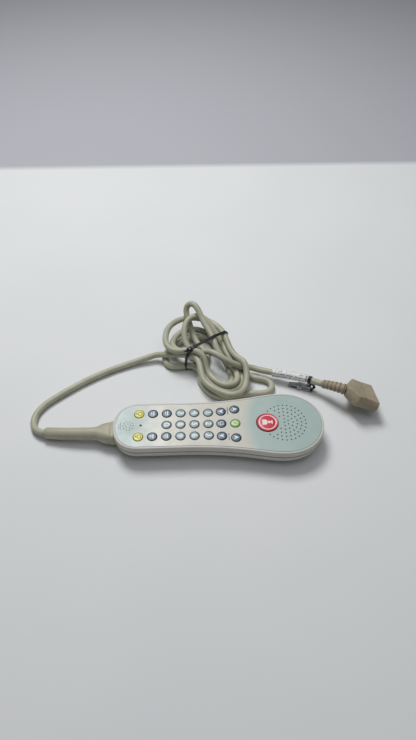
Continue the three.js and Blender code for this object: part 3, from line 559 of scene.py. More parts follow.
case_finish = moulded_finish(
    "case_plastic", paint(214, 211, 203), paint(205, 201, 191), 22, (0.38, 0.55), 0.35, 0.02
)
WALL = 2.0
REAR_TOP, BELLY_TUCK = 15.6, 14.0
rear_profile = arc((BELLY_TUCK, REAR_TOP), (-BELLY_TUCK, -REAR_TOP), 90, 3, 20)
rear_profile += [(0.05, REAR_TOP - 0.4), (0.25, REAR_TOP), (WALL, REAR_TOP)]
rear_profile += arc((WALL + BELLY_TUCK - 1, REAR_TOP), (1 - BELLY_TUCK, WALL - REAR_TOP), 3, 90, 14)
rear_shell = skin("rear_shell", case_rows(rear_profile), capped=False)
fit_piece(rear_shell, case_finish, "case_plastic", "rear_housing")

CASE_SCREWS, SCREW_WELL = [(-69, 0), (58.5, 20), (58.5, -20)], 3.2
base_holes = [circle(x, y, SCREW_WELL) for x, y in CASE_SCREWS]
base_plate = flat_plate("rear_base_plate", case_outline(BELLY_TUCK - 0.3), base_holes, 0, WALL, 0.15)
fit_piece(base_plate, case_finish, "case_plastic")

FRAME_BOTTOM, CASE_TOP, RIM_ROUND = 17, 24.0, 1.4
DECK_BOTTOM, DECK_TOP = 20.8, 23.0
frame_profile = [(0.35, FRAME_BOTTOM), (0.05, 17.15), (0, 17.5), (0, 20), (0, CASE_TOP - RIM_ROUND)]
frame_profile += arc((RIM_ROUND, CASE_TOP - RIM_ROUND), (-RIM_ROUND, RIM_ROUND), 10, 90, 9)
frame_profile += [(WALL, CASE_TOP), (2.22, 23.92), (2.3, 23.7), (2.3, DECK_TOP), (6.2, DECK_TOP)]
frame_profile += [(6.2, DECK_BOTTOM), (2.2, DECK_BOTTOM), (WALL, 20.4), (WALL, FRAME_BOTTOM)]
front_frame = skin("front_frame", case_rows(frame_profile), capped=False)
front_frame.data.set_sharp_from_angle(angle=np.radians(38))
fit_piece(front_frame, case_finish, "case_plastic", "front_housing")

seal_finish = moulded_finish(
    "seal_rubber", paint(132, 129, 121), paint(118, 115, 108), 10, (0.6, 0.75), 0.4, 0.02
)
seal_profile = [(0.9, 15.75), (0.55, 15.95), (0.45, 16.3), (0.55, 16.65), (0.9, 16.85)]
seal_profile += [(2.2, 16.85), (2.2, 15.75)]
seal = skin("parting_seal", case_rows(seal_profile), capped=False)
fit_piece(seal, seal_finish, "seal_rubber", "housing_seal")

# ---------------------------------------------------------------- keys: where they stand
# Eight columns of round keys; the digits lie sideways, their tops towards the loudspeaker.
KEY_PITCH, KEY_RADIUS, KEY_TOP = 14.5, 5.0, 24.9
CALL_PLACE, CALL_RADIUS = (51.0, 0.0), 11.5
LAMP_PLACE = (-81.0, 0.0)


def column_x(column):
    """Middle of a key column, from 8 next to the cord down to 1 next to the call button."""
    return -83 + (8 - column) * KEY_PITCH


KEYS = {  # node: place, cap colour and printed mark
    "key_reading_lamp": (column_x(8), KEY_PITCH, "lamp", "lamp"),
    "key_room_lamp": (column_x(8), -KEY_PITCH, "lamp", "lamp"),
    "key_caption": (column_x(7), KEY_PITCH, "dark", "bars"),
    "key_mute": (column_x(7), -KEY_PITCH, "dark", "bars"),
    "key_last": (column_x(6), KEY_PITCH, "dark", "bars"),
    "key_0": (column_x(6), 0, "digit", "0"),
    "key_enter": (column_x(6), -KEY_PITCH, "dark", "bars"),
    "key_volume_down": (column_x(2) - 1, 15.5, "dark", "down"),
    "key_source": (column_x(2) - 1, 0, "dark", "screen"),
    "key_channel_down": (column_x(2) - 1, -15.5, "dark", "down"),
    "key_volume_up": (column_x(1) - 1, 18, "dark", "up"),
    "key_power": (column_x(1) - 1, 0, "green", "power"),
    "key_channel_up": (column_x(1) - 1, -18, "dark", "up"),
}
for digit in range(1, 10):
    row, column = (digit - 1) % 3, 3 + (digit - 1) // 3
    KEYS[f"key_{digit}"] = (column_x(column), (1 - row) * KEY_PITCH, "digit", str(digit))

# ---------------------------------------------------------------- deck and face film
# The deck is the moulded plate under the film. The film is printed polycarbonate, pale beige over the
# keypad and sea green at both ends, punched for the keys and drilled over the loudspeaker.
HOLE_CLEARANCE = 0.4
key_holes = [circle(x, y, KEY_RADIUS + HOLE_CLEARANCE) for x, y, *_ in KEYS.values()]
call_hole = circle(*CALL_PLACE, CALL_RADIUS + HOLE_CLEARANCE, 64)
lamp_hole = circle(*LAMP_PLACE, 1.3, 20)
deck_holes = [*key_holes, call_hole, lamp_hole]
deck = flat_plate("front_deck", case_outline(5.8), deck_holes, DECK_BOTTOM, DECK_TOP, 0.05)
fit_piece(deck, case_finish, "case_plastic")

GRILLE_MIDDLE, GRILLE_STEP, GRILLE_RINGS, GRILLE_HOLE = 69.0, 4.45, 5, 0.75

grille_places = [(GRILLE_MIDDLE, 0.0)]
for ring_number in range(1, GRILLE_RINGS + 1):
    turn = (np.arange(6 * ring_number) + 0.5 * (ring_number % 2)) / (6 * ring_number) * 2 * np.pi
    reach = ring_number * GRILLE_STEP
    grille_places += [(GRILLE_MIDDLE + reach * np.cos(t), reach * np.sin(t)) for t in turn]
grille_places = [(x, y) for x, y in grille_places if np.hypot(x - CALL_PLACE[0], y) > CALL_RADIUS + 3]
grille_holes = [circle(x, y, GRILLE_HOLE, 12) for x, y in grille_places]


def worked(tree, operation, *values):
    """One step of arithmetic on up to three values, each a number or a socket."""
    step = tree.nodes.new("ShaderNodeMath")
    step.operation = operation
    for socket, value in zip(step.inputs, values):
        if isinstance(value, (int, float)):
            socket.default_value = value
        else:
            tree.links.new(value, socket)
    return step.outputs["Value"]


def film_finish():
    """Printed film: beige in the middle, sea green past a curved border at each end, a faint print grain
    and a satin top coat."""
    material, tree, shader, place = start_finish("overlay_film")
    split = tree.nodes.new("ShaderNodeSeparateXYZ")
    tree.links.new(place, split.inputs["Vector"])

    def bowed(low, high, bow):
        """Place along the handset plus bow times the square of the place across it, as a share."""
        square = worked(tree, "MULTIPLY", split.outputs["Y"], split.outputs["Y"])
        line = worked(tree, "MULTIPLY_ADD", square, bow, split.outputs["X"])
        return spread(tree, line, low * MM, high * MM, 0, 1)

    beige = mixed(tree, cloud(tree, place, 9, 4), paint(209, 206, 194), paint(195, 193, 181))
    green = mixed(tree, cloud(tree, place, 12, 4), paint(177, 195, 190), paint(164, 184, 179))
    with_tail = mixed(tree, bowed(-88, -56, 8.0), green, beige)
    colour = mixed(tree, bowed(24, 35, -8.0), with_tail, green)
    tree.links.new(colour, shader.inputs["Base Color"])
    tree.links.new(patchy(tree, place, 16, 0.3, 0.44, 3), shader.inputs["Roughness"])
    raise_grain(tree, shader, cloud(tree, place, 0.45, 2), 0.015)
    return material


FILM_INSET, FILM_BOTTOM, FILM_TOP = 2.6, 23.3, 24.1
film_holes = [*deck_holes, *grille_holes]
film = flat_plate("face_film", case_outline(FILM_INSET), film_holes, FILM_BOTTOM, FILM_TOP, 0.12)
fit_piece(film, film_finish(), "overlay_film", "face_overlay")

cloth_outline = circle(GRILLE_MIDDLE, 0, 23, 48)
speaker_cloth = flat_plate("speaker_cloth", cloth_outline, [call_hole], 23.02, 23.25, 0.02)
dark_finish = moulded_finish("dark_plastic", paint(44, 45, 47), paint(34, 35, 37), 6, (0.4, 0.6), 0.3, 0.02)
fit_piece(speaker_cloth, dark_finish, "dark_plastic")

# ---------------------------------------------------------------- keys
# Domed silicone-and-plastic caps with a pale mark, paler in the middle and darker outwards to a dark edge
# ring, partly print and partly painted shade of the dome's slope and of the film hole's edge, on a flange
# that keeps each one under the deck.
def turned(name, profile, middle, around=48):
    """A profile of radius and height turned about an upright axis; its UV map's u is the turn and v
    the share of the largest radius."""
    profile = np.array(profile, float)
    turn = np.arange(around) * 2 * np.pi / around
    rows = np.stack(
        [
            middle[0] + profile[:, :1] * np.cos(turn)[None],
            middle[1] + profile[:, :1] * np.sin(turn)[None],
            np.repeat(profile[:, 1:], around, 1),
        ],
        2,
    )
    thing = skin(name, rows)
    mesh = thing.data
    corner = np.zeros(len(mesh.loops), np.int32)
    mesh.loops.foreach_get("vertex_index", corner)
    places = np.zeros(len(mesh.vertices) * 3)
    mesh.vertices.foreach_get("co", places)
    places = places.reshape(-1, 3)
    share = np.hypot(*(places[:, :2] - np.array(middle) * MM).T) / (profile[:, 0].max() * MM)
    uv = np.stack([(corner % around) / around, share[corner]], 1)
    mesh.uv_layers[0].data.foreach_set("uv", uv.astype(np.float32).ravel())
    mesh.set_sharp_from_angle(angle=np.radians(50))
    return thing


def own_uv(tree):
    """The two parts of a piece's own UV map."""
    map_node = tree.nodes.new("ShaderNodeUVMap")
    map_node.uv_map = "UVMap"
    split = tree.nodes.new("ShaderNodeSeparateXYZ")
    tree.links.new(map_node.outputs["UV"], split.inputs["Vector"])
    return split.outputs["X"], split.outputs["Y"]


def key_finish(name, inner, outer_tone_and_shade, ring, ring_from, ring_to):
    """Key cap colour: a paler middle that deepens outwards, and a dark ring at the edge; partly print, partly
    painted shade of the dome's slope and of the film hole's edge.
    """
    material, tree, shader, place = start_finish(name)
    _, share = own_uv(tree)
    # the middle darkens outwards: printed tone plus painted shade of the dome's slope
    body = mixed(tree, spread(tree, share, 0, ring_from, 0, 1), inner, outer_tone_and_shade)
    mottled = mixed(tree, patchy(tree, place, 2.5, 0, 0.25), body, outer_tone_and_shade)
    # the dark edge ring: partly print, partly painted shade where the cap's side drops into the film hole
    ring_print_and_edge_shade = mixed(tree, spread(tree, share, ring_from, ring_to, 0, 1), mottled, ring)
    tree.links.new(ring_print_and_edge_shade, shader.inputs["Base Color"])
    tree.links.new(patchy(tree, place, 4, 0.28, 0.42), shader.inputs["Roughness"])
    raise_grain(tree, shader, cloud(tree, place, 0.4), 0.01)
    return material


KEY_PAINTS = {  # cap colour: middle, outer part, edge ring (print with painted dome and edge shade), and where the ring begins and is full
    "lamp": (paint(230, 224, 78), paint(222, 212, 44), paint(186, 180, 62), 0.62, 0.76),
    "dark": (paint(90, 118, 134), paint(72, 98, 116), paint(50, 70, 86), 0.56, 0.66),
    "digit": (paint(154, 176, 174), paint(132, 156, 156), paint(88, 110, 114), 0.56, 0.66),
    "green": (paint(158, 206, 72), paint(138, 190, 52), paint(104, 140, 52), 0.62, 0.72),
}
KEY_FINISHES = {colour: key_finish(f"{colour}_key", *paints) for colour, paints in KEY_PAINTS.items()}


def printed_ink(name, colour, darker):
    """Screen-printed ink, slightly uneven, with a satin face."""
    return moulded_finish(name, colour, darker, 1.5, (0.35, 0.5), 0.3, 0.008)


white_ink = printed_ink("white_ink", paint(240, 243, 244), paint(222, 228, 230))
# grey ink for the captions, and also for the painted shade line over the groove at the film's edge
grey_print_and_shade_ink = printed_ink("grey_print_and_shade_ink", paint(104, 122, 134), paint(88, 106, 120))
brown_ink = printed_ink("brown_ink", paint(84, 78, 50), paint(70, 64, 42))


INK_THICKNESS = 0.08


def flat_print(name, outlines, height, ink, body, slot, middle=(0, 0)):
    """Ink marks cut from closed outlines, at a place on a face."""
    rings = [np.asarray(outline, float) + middle for outline in outlines]
    marks = flat_plate(name, rings[0], rings[1:], height, height + INK_THICKNESS, 0.01)
    fit_piece(marks, ink, slot, body=body)


def bar(x, y, long, wide):
    """A rectangle about a place, long along Y and wide along X."""
    return [(x + i * wide / 2, y + j * long / 2) for i, j in SQUARE]


def arrow_marks(way):
    """A swept arrowhead that points along X: forwards for up, backwards for down."""
    tip = np.array([(3.1, 0), (-2.4, 2.5), (-1.2, 0), (-2.4, -2.5)])
    return [(tip * [way, 1])[::way]]


MARKS = {
    "bars": [bar(0.9, 0, 5.4, 1.1), bar(-1.3, 0, 3.4, 0.8)],
    "up": arrow_marks(1),
    "down": arrow_marks(-1),
    "screen": [bar(0.3, 0, 4.4, 3.4), bar(0.3, 0, 3.2, 2.3)[::-1], bar(-2.6, 0, 2.6, 0.7)],
    "power": [
        arc((0, 0), (2.9, 2.9), 35, 325, 26) + arc((0, 0), (2, 2), 325, 35, 26),
        bar(1.9, 0, 0.9, 3.2),
    ],
    "lamp": [
        arc((1, 0), (2.3, 2.3), 0, 345, 24),
        arc((1, 0), (1.6, 1.6), 345, 0, 24),
        [(-1.7, -1.3), (-1.7, 1.3), (-3.6, 0)],
    ],
}
FLANGE_BOTTOM, FLANGE_TOP, FLANGE_LIP = 19.2, 20.5, 1.3


def cap_profile(radius, shoulder):
    """The flange of a cap and its wall up to the shoulder, as radius and height from the middle out."""
    lip = radius + FLANGE_LIP
    flange = [(0.02, FLANGE_BOTTOM), (lip, FLANGE_BOTTOM), (lip, FLANGE_TOP)]
    return flange + [(radius, FLANGE_TOP), (radius, shoulder)]


key_profile = cap_profile(KEY_RADIUS, 24.2) + arc((4.4, 24.2), (0.6, 0.5), 15, 80, 5)
key_profile += [(3.9, 24.8), (2.5, 24.86), (1.0, KEY_TOP), (0.02, KEY_TOP)]
DIGIT_SIZE = 8.0
for node, (x, y, colour, mark) in KEYS.items():
    body, slot = f"{node}_cap", f"{colour}_key"
    fit_piece(turned(f"{node}_cap", key_profile, (x, y)), KEY_FINISHES[colour], slot, node, body=body)
    if mark in MARKS:
        ink = brown_ink if mark == "lamp" else white_ink
        flat_print(f"{node}_mark", MARKS[mark], KEY_TOP - 0.03, ink, body, slot, (x, y))
        continue
    text = bpy.data.curves.new(f"{node}_mark", "FONT")
    text.body = "6" if mark == "9" else mark
    text.size = DIGIT_SIZE * MM
    text.align_x = "CENTER"
    text.align_y = "CENTER"
    text.extrude = 0.04 * MM
    text.offset = 0.22 * MM
    turn = np.pi / 2 if mark == "9" else -np.pi / 2  # a 9 is a 6 upside down
    numeral = as_mesh(f"{node}_mark", text, (x, y, KEY_TOP + 0.01), turn)
    fit_piece(numeral, white_ink, slot, body=body)

# ---------------------------------------------------------------- call button
# The large red nurse-call button: a domed cap with a moulded ring, a pale printed ring and a plain
# figure with a cap on its head.
def call_finish():
    """Red cap with a pale ring and a deeper rim, by the share of its radius."""
    material, tree, shader, place = start_finish("red_key")
    _, share = own_uv(tree)
    red = mixed(tree, patchy(tree, place, 5, 0, 1, 3), paint(212, 44, 62), paint(196, 36, 54))
    pale = paint(240, 206, 206)
    ring_in = mixed(tree, spread(tree, share, 0.635, 0.65, 0, 1), red, pale)
    ring_out = mixed(tree, spread(tree, share, 0.735, 0.75, 0, 1), ring_in, red)
    rim = mixed(tree, spread(tree, share, 0.84, 0.88, 0, 1), ring_out, paint(164, 40, 56))
    tree.links.new(rim, shader.inputs["Base Color"])
    tree.links.new(patchy(tree, place, 6, 0.25, 0.4), shader.inputs["Roughness"])
    raise_grain(tree, shader, cloud(tree, place, 0.4), 0.01)
    return material


call_profile = cap_profile(CALL_RADIUS, 24.3) + arc((10.9, 24.3), (0.6, 0.9), 15, 90, 6)
call_profile += [(10.3, 25.12), (9.9, 24.95), (8.2, 24.92), (7.9, 25.0), (6, 25.04), (3, 25.08), (0.02, 25.1)]
call_cap = turned("call_button_cap", call_profile, CALL_PLACE, 96)
fit_piece(call_cap, call_finish(), "red_key", "call_button", body="call_button_cap")

figure = [
    [(-5.4, -3.4), (-1.2, -3.2), (0.1, -1.2), (0.1, 1.2), (-1.2, 3.2), (-5.4, 3.4)],
    circle(1.9, 0, 1.6, 24),
    [(3.8, -1.7), (5.5, -2.6), (5.5, 2.6), (3.8, 1.7)],
]
call_ink = printed_ink("call_ink", paint(250, 236, 234), paint(240, 220, 220))
flat_print("call_button_mark", figure, 25.06, call_ink, "call_button_cap", "red_key", CALL_PLACE)

# ---------------------------------------------------------------- printing on the film, pilot lamp
# Small captions beside the keys, as plain bars, a rosette of dots at the tail, a thin grey line of painted
# shade over the groove where the film meets the rim, and the smoked lens of a pilot lamp in a pale ring.
PRINT_HEIGHT = 24.07
caption_x = (column_x(2) + column_x(1)) / 2 - 1
captions = {
    "volume_caption": [bar(caption_x - 0.1, 16.6, 9.4, 1.0), bar(caption_x - 1.7, 16.9, 4.0, 0.35)],
    "channel_caption": [bar(caption_x - 0.1, -16.6 + 3.2 * step, 2.4, 1.0) for step in (-1, 0, 1)],
    "tail_caption": [bar(-101.9, -0.5, 9.5, 0.6), bar(-103.6, -0.5, 6, 0.5)],
}
for name, outlines in captions.items():
    flat_print(name, outlines, PRINT_HEIGHT, grey_print_and_shade_ink, "handset", "overlay_film")

ring_line = [circle(*LAMP_PLACE, 2.3, 40), circle(*LAMP_PLACE, 1.6, 40)[::-1]]
pale_ink = printed_ink("pale_ink", paint(206, 218, 214), paint(196, 208, 204))
flat_print("pilot_ring", ring_line, PRINT_HEIGHT, pale_ink, "handset", "overlay_film")
ROSETTE_PLACE = (-94, -0.5)
dots = [*circle(*ROSETTE_PLACE, 5.2, 10), *arc(ROSETTE_PLACE, (2.5, 2.5), 20, 308, 5)]
dot_outlines = [circle(*dot, 0.62, 14) for dot in dots]
black_ink = printed_ink("black_ink", paint(52, 58, 60), paint(40, 44, 46))
flat_print("tail_dots", dot_outlines, PRINT_HEIGHT, black_ink, "handset", "overlay_film")
# a thin grey band of painted shade laid over the groove between the rim and the film's edge
groove_shade_line = [case_outline(2.25), case_outline(2.62)[::-1]]
flat_print("film_groove_painted_shade", groove_shade_line, 24.03, grey_print_and_shade_ink, "handset", "overlay_film")
lens_profile = [(0.02, 18.2), (1, 18.2), (1, 23.7), (0.85, 23.95), (0.5, 24.1), (0.02, 24.15)]
lens = turned("pilot_lens", lens_profile, LAMP_PLACE, 24)
lens_finish = moulded_finish("lens_finish", paint(24, 24, 26), paint(16, 16, 18), 2, (0.12, 0.2), 0.4, 0.003)
fit_piece(lens, lens_finish, "dark_plastic", "indicator_lamp")

# ---------------------------------------------------------------- inside the case
# The board, dome sheet, loudspeaker, clamp and screws keep their CAD shapes and get their finishes.
def metal_finish(name, light, dark, rough, scratch):
    """Plated metal: bright, with fine drawn scratches along X and cloudy dulling."""
    material, tree, shader, place = start_finish(name)
    squeeze = tree.nodes.new("ShaderNodeMapping")
    squeeze.inputs["Scale"].default_value = (0.15, 1, 1)
    tree.links.new(place, squeeze.inputs["Vector"])
    lines = cloud(tree, squeeze.outputs["Vector"], scratch, 4)
    tree.links.new(mixed(tree, cloud(tree, place, 7), light, dark), shader.inputs["Base Color"])
    tree.links.new(spread(tree, lines, 0.3, 0.7, *rough), shader.inputs["Roughness"])
    shader.inputs["Metallic"].default_value = 1.0
    raise_grain(tree, shader, lines, 0.006)
    return material


steel_finish = metal_finish("steel", paint(196, 197, 200), paint(168, 169, 173), (0.22, 0.42), 0.5)
brass_finish = metal_finish("brass", paint(212, 178, 92), paint(190, 152, 70), (0.25, 0.4), 0.4)
board_finish = moulded_finish(
    "circuit_board", paint(42, 106, 62), paint(34, 88, 52), 5, (0.35, 0.5), 0.6, 0.03
)
INSIDE = {
    "main_board": board_finish,
    "dome_sheet": steel_finish,
    "wire_header": dark_finish,
    "cord_wires": cord_finish,
    "cord_clamp": dark_finish,
    "clamp_screw_1": steel_finish,
    "clamp_screw_2": steel_finish,
    "case_screw_1": steel_finish,
    "case_screw_2": steel_finish,
    "case_screw_3": steel_finish,
    "speaker_frame": steel_finish,
    "speaker_magnet": dark_finish,
    "speaker_cone": dark_finish,
    "speaker_gasket": seal_finish,
}


def wear_finish(node, finish):
    """Puts a finish on a CAD node that is shown as it is."""
    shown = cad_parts[node]
    shown.data.materials.clear()
    shown.data.materials.append(finish)


for node, finish in INSIDE.items():
    wear_finish(node, finish)

# ---------------------------------------------------------------- cable tie
# A black nylon tie pulled round the whole hank: its strap lies along the outside of the strands that
# cross it, through a small square head, and its cut end stands off.
tie_across = np.array([np.cos(TIE_YAW), np.sin(TIE_YAW), 0])
tie_normal = np.array([-np.sin(TIE_YAW), np.cos(TIE_YAW), 0])
tie_origin = np.array([*TIE_CENTRE, 0])


def strands_crossing(line, free):
    """Where the cord passes through the tie's plane: places across and up, from the tie's middle."""
    hank_half_width = 36
    from_tie = line - tie_origin
    side_of = from_tie @ tie_normal
    near = np.abs(from_tie[:-1] @ tie_across) < hank_half_width
    crossing = (side_of[:-1] * side_of[1:] < 0) & free[:-1] & near
    share = (side_of[:-1] / (side_of[:-1] - side_of[1:]))[crossing, None]
    met = from_tie[:-1][crossing] * (1 - share) + from_tie[1:][crossing] * share
    return np.stack([met @ tie_across, met[:, 2]], 1)


def wrapped_outline(middles, radius, steps=72):
    """The line that a tight strap takes round equal circles: in each direction its tangent is as far out
    as the furthest circle, and neighbouring tangents meet at its corners, evened out along its length."""
    turn = np.arange(720) * 2 * np.pi / 720
    outward = np.stack([np.cos(turn), np.sin(turn)], 1)
    furthest = middles[np.argmax(middles @ outward.T, axis=0)] + radius * outward
    closed = np.vstack([furthest, furthest[:1]])
    along = np.concatenate([[0], np.cumsum(np.linalg.norm(np.diff(closed, axis=0), axis=1))])
    even = np.linspace(0, along[-1], steps, endpoint=False)
    return np.stack([np.interp(even, along, closed[:, axis]) for axis in range(2)], 1)


def strap_loop(name, outline, band, thickness):
    """A flat strap round an outline in the tie's plane: a thin rounded rectangle square to the outline."""
    ahead = np.roll(outline, -1, 0) - np.roll(outline, 1, 0)
    ahead /= np.linalg.norm(ahead, axis=1, keepdims=True)
    out = np.stack([ahead[:, 1], -ahead[:, 0]], 1)
    ring = rounded_ring(thickness, band, 0.25, 3)
    flat = outline[:, None] + out[:, None] * ring[None, :, :1]
    rows = (
        tie_origin
        + flat[..., :1] * tie_across
        + flat[..., 1:] * np.array([0, 0, 1])
        + ring[None, :, 1:] * tie_normal
    )
    return skin(name, rows, capped=False)


STRAP_BAND, STRAP_THICKNESS = 3.4, 1.4
LEAD_BEFORE_TIE = 150
nylon_finish = moulded_finish("black_nylon", paint(30, 31, 34), paint(22, 23, 26), 4, (0.32, 0.48), 0.5, 0.03)
tied = (travel > LEAD_BEFORE_TIE) & (travel < travel[-1] - TAIL_LAID)
strands = strands_crossing(cord_line, tied)
strap_path = wrapped_outline(strands, CORD_RADIUS + STRAP_THICKNESS / 2 + 0.05)
strap_path[:, 1] = np.maximum(strap_path[:, 1], STRAP_THICKNESS / 2)
tie_strap = strap_loop("tie_strap", strap_path, STRAP_BAND, STRAP_THICKNESS)
fit_piece(tie_strap, nylon_finish, "black_nylon", "cable_tie")


def tie_piece(name, sections):
    """A rounded block in the tie's plane from sections given by place across, place up, width along
    the strap's band, thickness and corner."""
    upwards = np.array([0, 0, 1])
    rows = []
    for across, up, *size in sections:
        middle = tie_origin + across * tie_across + up * upwards
        rows.append(set_square(rounded_ring(*size, 4), middle, tie_normal, upwards))
    return fit_piece(skin(name, rows), nylon_finish, "black_nylon")


hx, hz = strap_path[np.argmax(strap_path @ np.array([-0.75, 0.66]))]  # the strap's upper left corner
tie_head = tie_piece("tie_head", [
    (hx - 3.2, hz + 0.4, 4.6, 3.8, 1.2), (hx - 2.7, hz + 0.5, 5.8, 5.0, 1.5), (hx, hz + 0.9, 6.4, 5.8, 1.7),
    (hx + 2.4, hz + 1.1, 5.8, 5.0, 1.5), (hx + 2.9, hz + 1.2, 4.6, 3.8, 1.2),
])
tie_stub = tie_piece("tie_stub", [
    (hx - 8.6, hz + 4.2, 2.2, 0.8, 0.3), (hx - 7.4, hz + 3.2, 3.0, 1.1, 0.4),
    (hx - 5, hz + 1.8, 3.0, 1.1, 0.4), (hx - 2, hz + 0.9, 3.0, 1.1, 0.4),
])

# ---------------------------------------------------------------- wrap label
# A white film label wrapped once round the tail of the cord, with lines of small print that run
# along the cord; here they are only broken grey bars.
def sleeve(name, line, radius, inner):
    """A thin sleeve round a line: out along its outside, then back along its inside, as one hoop."""
    _, side, up = even_frames(line)
    turn = np.arange(28) * 2 * np.pi / 28
    ring = np.cos(turn)[None, :, None] * side[:, None] + np.sin(turn)[None, :, None] * up[:, None]
    outside = line[:, None] + np.asarray(radius)[:, None, None] * ring
    inside = (line[:, None] + inner * ring)[::-1]
    return skin(name, np.concatenate([outside, inside]), capped=False)


def label_finish():
    """White film with nine rows of grey dashes: stripes round the label, broken along it by a noise that
    is read further along for each row."""
    material, tree, shader, place = start_finish("label_film")
    around, along = own_uv(tree)
    rows = worked(tree, "MULTIPLY", around, 9)
    stripe = worked(tree, "COMPARE", worked(tree, "FRACT", rows), 0.5, 0.17)
    where = tree.nodes.new("ShaderNodeCombineXYZ")
    tree.links.new(worked(tree, "MULTIPLY", along, 46), where.inputs["X"])
    tree.links.new(worked(tree, "MULTIPLY", worked(tree, "FLOOR", rows), 7.3), where.inputs["Y"])
    dashes = tree.nodes.new("ShaderNodeTexNoise")
    dashes.inputs["Scale"].default_value = 1.0
    dashes.inputs["Detail"].default_value = 1.0
    tree.links.new(where.outputs["Vector"], dashes.inputs["Vector"])
    inked = worked(tree, "MULTIPLY", stripe, spread(tree, dashes.outputs["Fac"], 0.47, 0.5, 0, 0.85))
    white = mixed(tree, cloud(tree, place, 6), paint(240, 240, 238), paint(226, 226, 224))
    tree.links.new(mixed(tree, inked, white, paint(84, 84, 92)), shader.inputs["Base Color"])
    shader.inputs["Roughness"].default_value = 0.38
    raise_grain(tree, shader, cloud(tree, place, 3, 3), 0.08)
    return material


tail_line = smooth_line(TAIL_ROUTE, 0.6)
LABEL_SPAN, LABEL_BORE = (0.31, 0.78), 3.62  # shares of the tail's length, and the radius inside
label_from, label_to = (int(share * len(tail_line)) for share in LABEL_SPAN)
label_line = tail_line[label_from : label_to + 1]
label_radius = np.linspace(5.1, 4.6, len(label_line))
label_radius[[0, -1]] -= 0.25
label = sleeve("cord_label_film", label_line, label_radius, LABEL_BORE)
fit_piece(label, label_finish(), "label_film", "cord_label")

# ---------------------------------------------------------------- sheet clip
# A sprung steel clip that pins the cord to the bed linen. It lies on the floor under the label, held
# by a short black strap.
for node in ("clip_base", "clip_jaw", "clip_pin", "clip_spring"):
    wear_finish(node, steel_finish)
wear_finish("clip_strap", nylon_finish)

# ---------------------------------------------------------------- plug
# A moulded PVC hood, V-shaped behind and gripped by thumb ridges near its front, over a steel D-shaped
# shell with two rows of brass contacts; a ribbed strain relief is moulded on behind it.
PLUG_PLACE = np.array([149.2, 40.9, 20.6])
PLUG_TURN = np.array(Euler(np.radians([-18, 20.5, -6.5]), "XYZ").to_matrix())


def on_plug(points):
    """Points in the plug's own axes, X towards its contacts, put where it lies."""
    return np.asarray(points) @ PLUG_TURN.T + PLUG_PLACE


def hood_drop(x):
    """How far the middle of the hood sinks towards its front: by the square of the place along it."""
    return -0.0012 * np.maximum(x - 3, 0) ** 2


def soft_polygon(corners, radius, steps=4):
    """A closed polygon with each corner replaced by a small parabola that starts radius from it."""
    corners = np.asarray(corners, float)
    before, after = np.roll(corners, 1, 0) - corners, np.roll(corners, -1, 0) - corners
    start = corners + radius * before / np.linalg.norm(before, axis=1, keepdims=True)
    end = corners + radius * after / np.linalg.norm(after, axis=1, keepdims=True)
    t = np.linspace(0, 1, steps)[None, :, None]
    bends = (1 - t) ** 2 * start[:, None] + 2 * t * (1 - t) * corners[:, None] + t**2 * end[:, None]
    return bends.reshape(-1, 2)


def hood_ring(x, half_width, half_depth, bevel, ridge=0.0):
    """Section of the hood at x: flat above and below, sides sloping in to a ridge at half its depth."""
    w, d = half_width, half_depth + ridge
    top = w - bevel
    corners = [(w, 1.6), (top, d), (-top, d), (-w, 1.6), (-w, -1.6), (-top, -d), (top, -d), (w, -1.6)]
    ring = soft_polygon(corners, 0.7)
    return np.column_stack([np.full(len(ring), x), ring[:, 0], ring[:, 1] + hood_drop(x)])


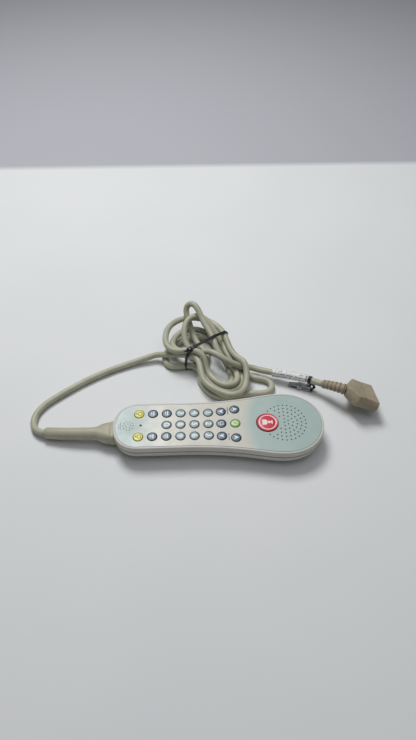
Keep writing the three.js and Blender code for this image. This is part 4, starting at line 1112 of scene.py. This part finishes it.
HOOD_BACK = [  # place along the hood, half width, half depth and bevel
    (-9, 6.0, 5.6, 1.4), (-8.6, 6.6, 6.0, 1.6), (-6.6, 9.4, 6.5, 1.8), (-3, 15.2, 6.7, 2.2),
    (-1, 18.4, 6.8, 2.3), (-0.2, 19.6, 6.8, 2.4), (0.4, 19.9, 6.8, 2.4), (1.6, 19.9, 6.8, 2.4),
    (5, 19.3, 6.75, 2.4), (9.6, 18.9, 6.7, 2.4),
]
RIDGE_PROFILE = [(0, -0.45), (0.3, 0.2), (0.65, 0.55), (1.15, 0.55), (1.5, 0.2), (1.8, -0.45)]
RIDGES, RIDGES_FROM, RIDGE_PITCH = 6, 10.6, 2.1
HOOD_FRONT = [(23.4, 20, 6.8, 2.4), (24.3, 20, 6.8, 2.4), (24.8, 19.7, 6.5, 2.4), (25, 19.2, 6.0, 2.4)]
POCKET = [(24.9, 13.2, 4.5), (24.6, 13, 4.3), (15.2, 13, 4.3)]  # place along, half width and half depth

hood_rows = [hood_ring(*station) for station in HOOD_BACK]
for number in range(RIDGES):
    start, half_width = RIDGES_FROM + RIDGE_PITCH * number, 18.9 + 0.17 * number
    hood_rows += [hood_ring(start + step, half_width, 6.5, 2.4, ridge) for step, ridge in RIDGE_PROFILE]
hood_rows += [hood_ring(*station) for station in HOOD_FRONT]
for x, w, d in POCKET:
    corners = [(w, 0.6), (w, d), (-w, d), (-w, 0.6), (-w, -0.6), (-w, -d), (w, -d), (w, -0.6)]
    ring = soft_polygon(corners, 0.5)
    hood_rows.append(np.column_stack([np.full(len(ring), x), ring[:, 0], ring[:, 1] + hood_drop(25)]))
hood = skin("plug_hood_moulding", on_plug(hood_rows))
hood.data.set_sharp_from_angle(angle=np.radians(60))
hood_finish = moulded_finish(
    "hood_pvc", paint(164, 152, 130), paint(148, 136, 114), 7, (0.42, 0.58), 0.7, 0.06
)
fit_piece(hood, hood_finish, "hood_pvc", "plug_hood")
wear_finish("plug_shell", steel_finish)
wear_finish("plug_insert", dark_finish)
wear_finish("plug_contacts", brass_finish)

RELIEF_ROUTE = [
    [119.2, 57.2, 16], [125.2, 52.7, 19], [131, 48.2, 21.7], [136, 44.7, 23.3], [140.9, 41.9, 23.8],
]
RELIEF_RIBS, RIB_SHARE = 6, 0.76  # a rib takes up that share of its pitch, and a gap the rest
relief_line = smooth_line(RELIEF_ROUTE, 0.3)
relief_share = np.linspace(0, 1, len(relief_line))
rib_place = (relief_share * RELIEF_RIBS) % 1
rib_swell = np.clip(1.3 * np.sin(np.pi * np.clip(rib_place / RIB_SHARE, 0, 1)) ** 0.35, 0, 1.2)
relief_radius = CORD_RADIUS + 0.9 * relief_share + rib_swell * (1.1 + 0.35 * relief_share)
relief_radius[0] = CORD_RADIUS - 0.1
relief = tube("plug_strain_relief_ribs", relief_line, relief_radius, 28)
fit_piece(relief, hood_finish, "hood_pvc", "plug_strain_relief")
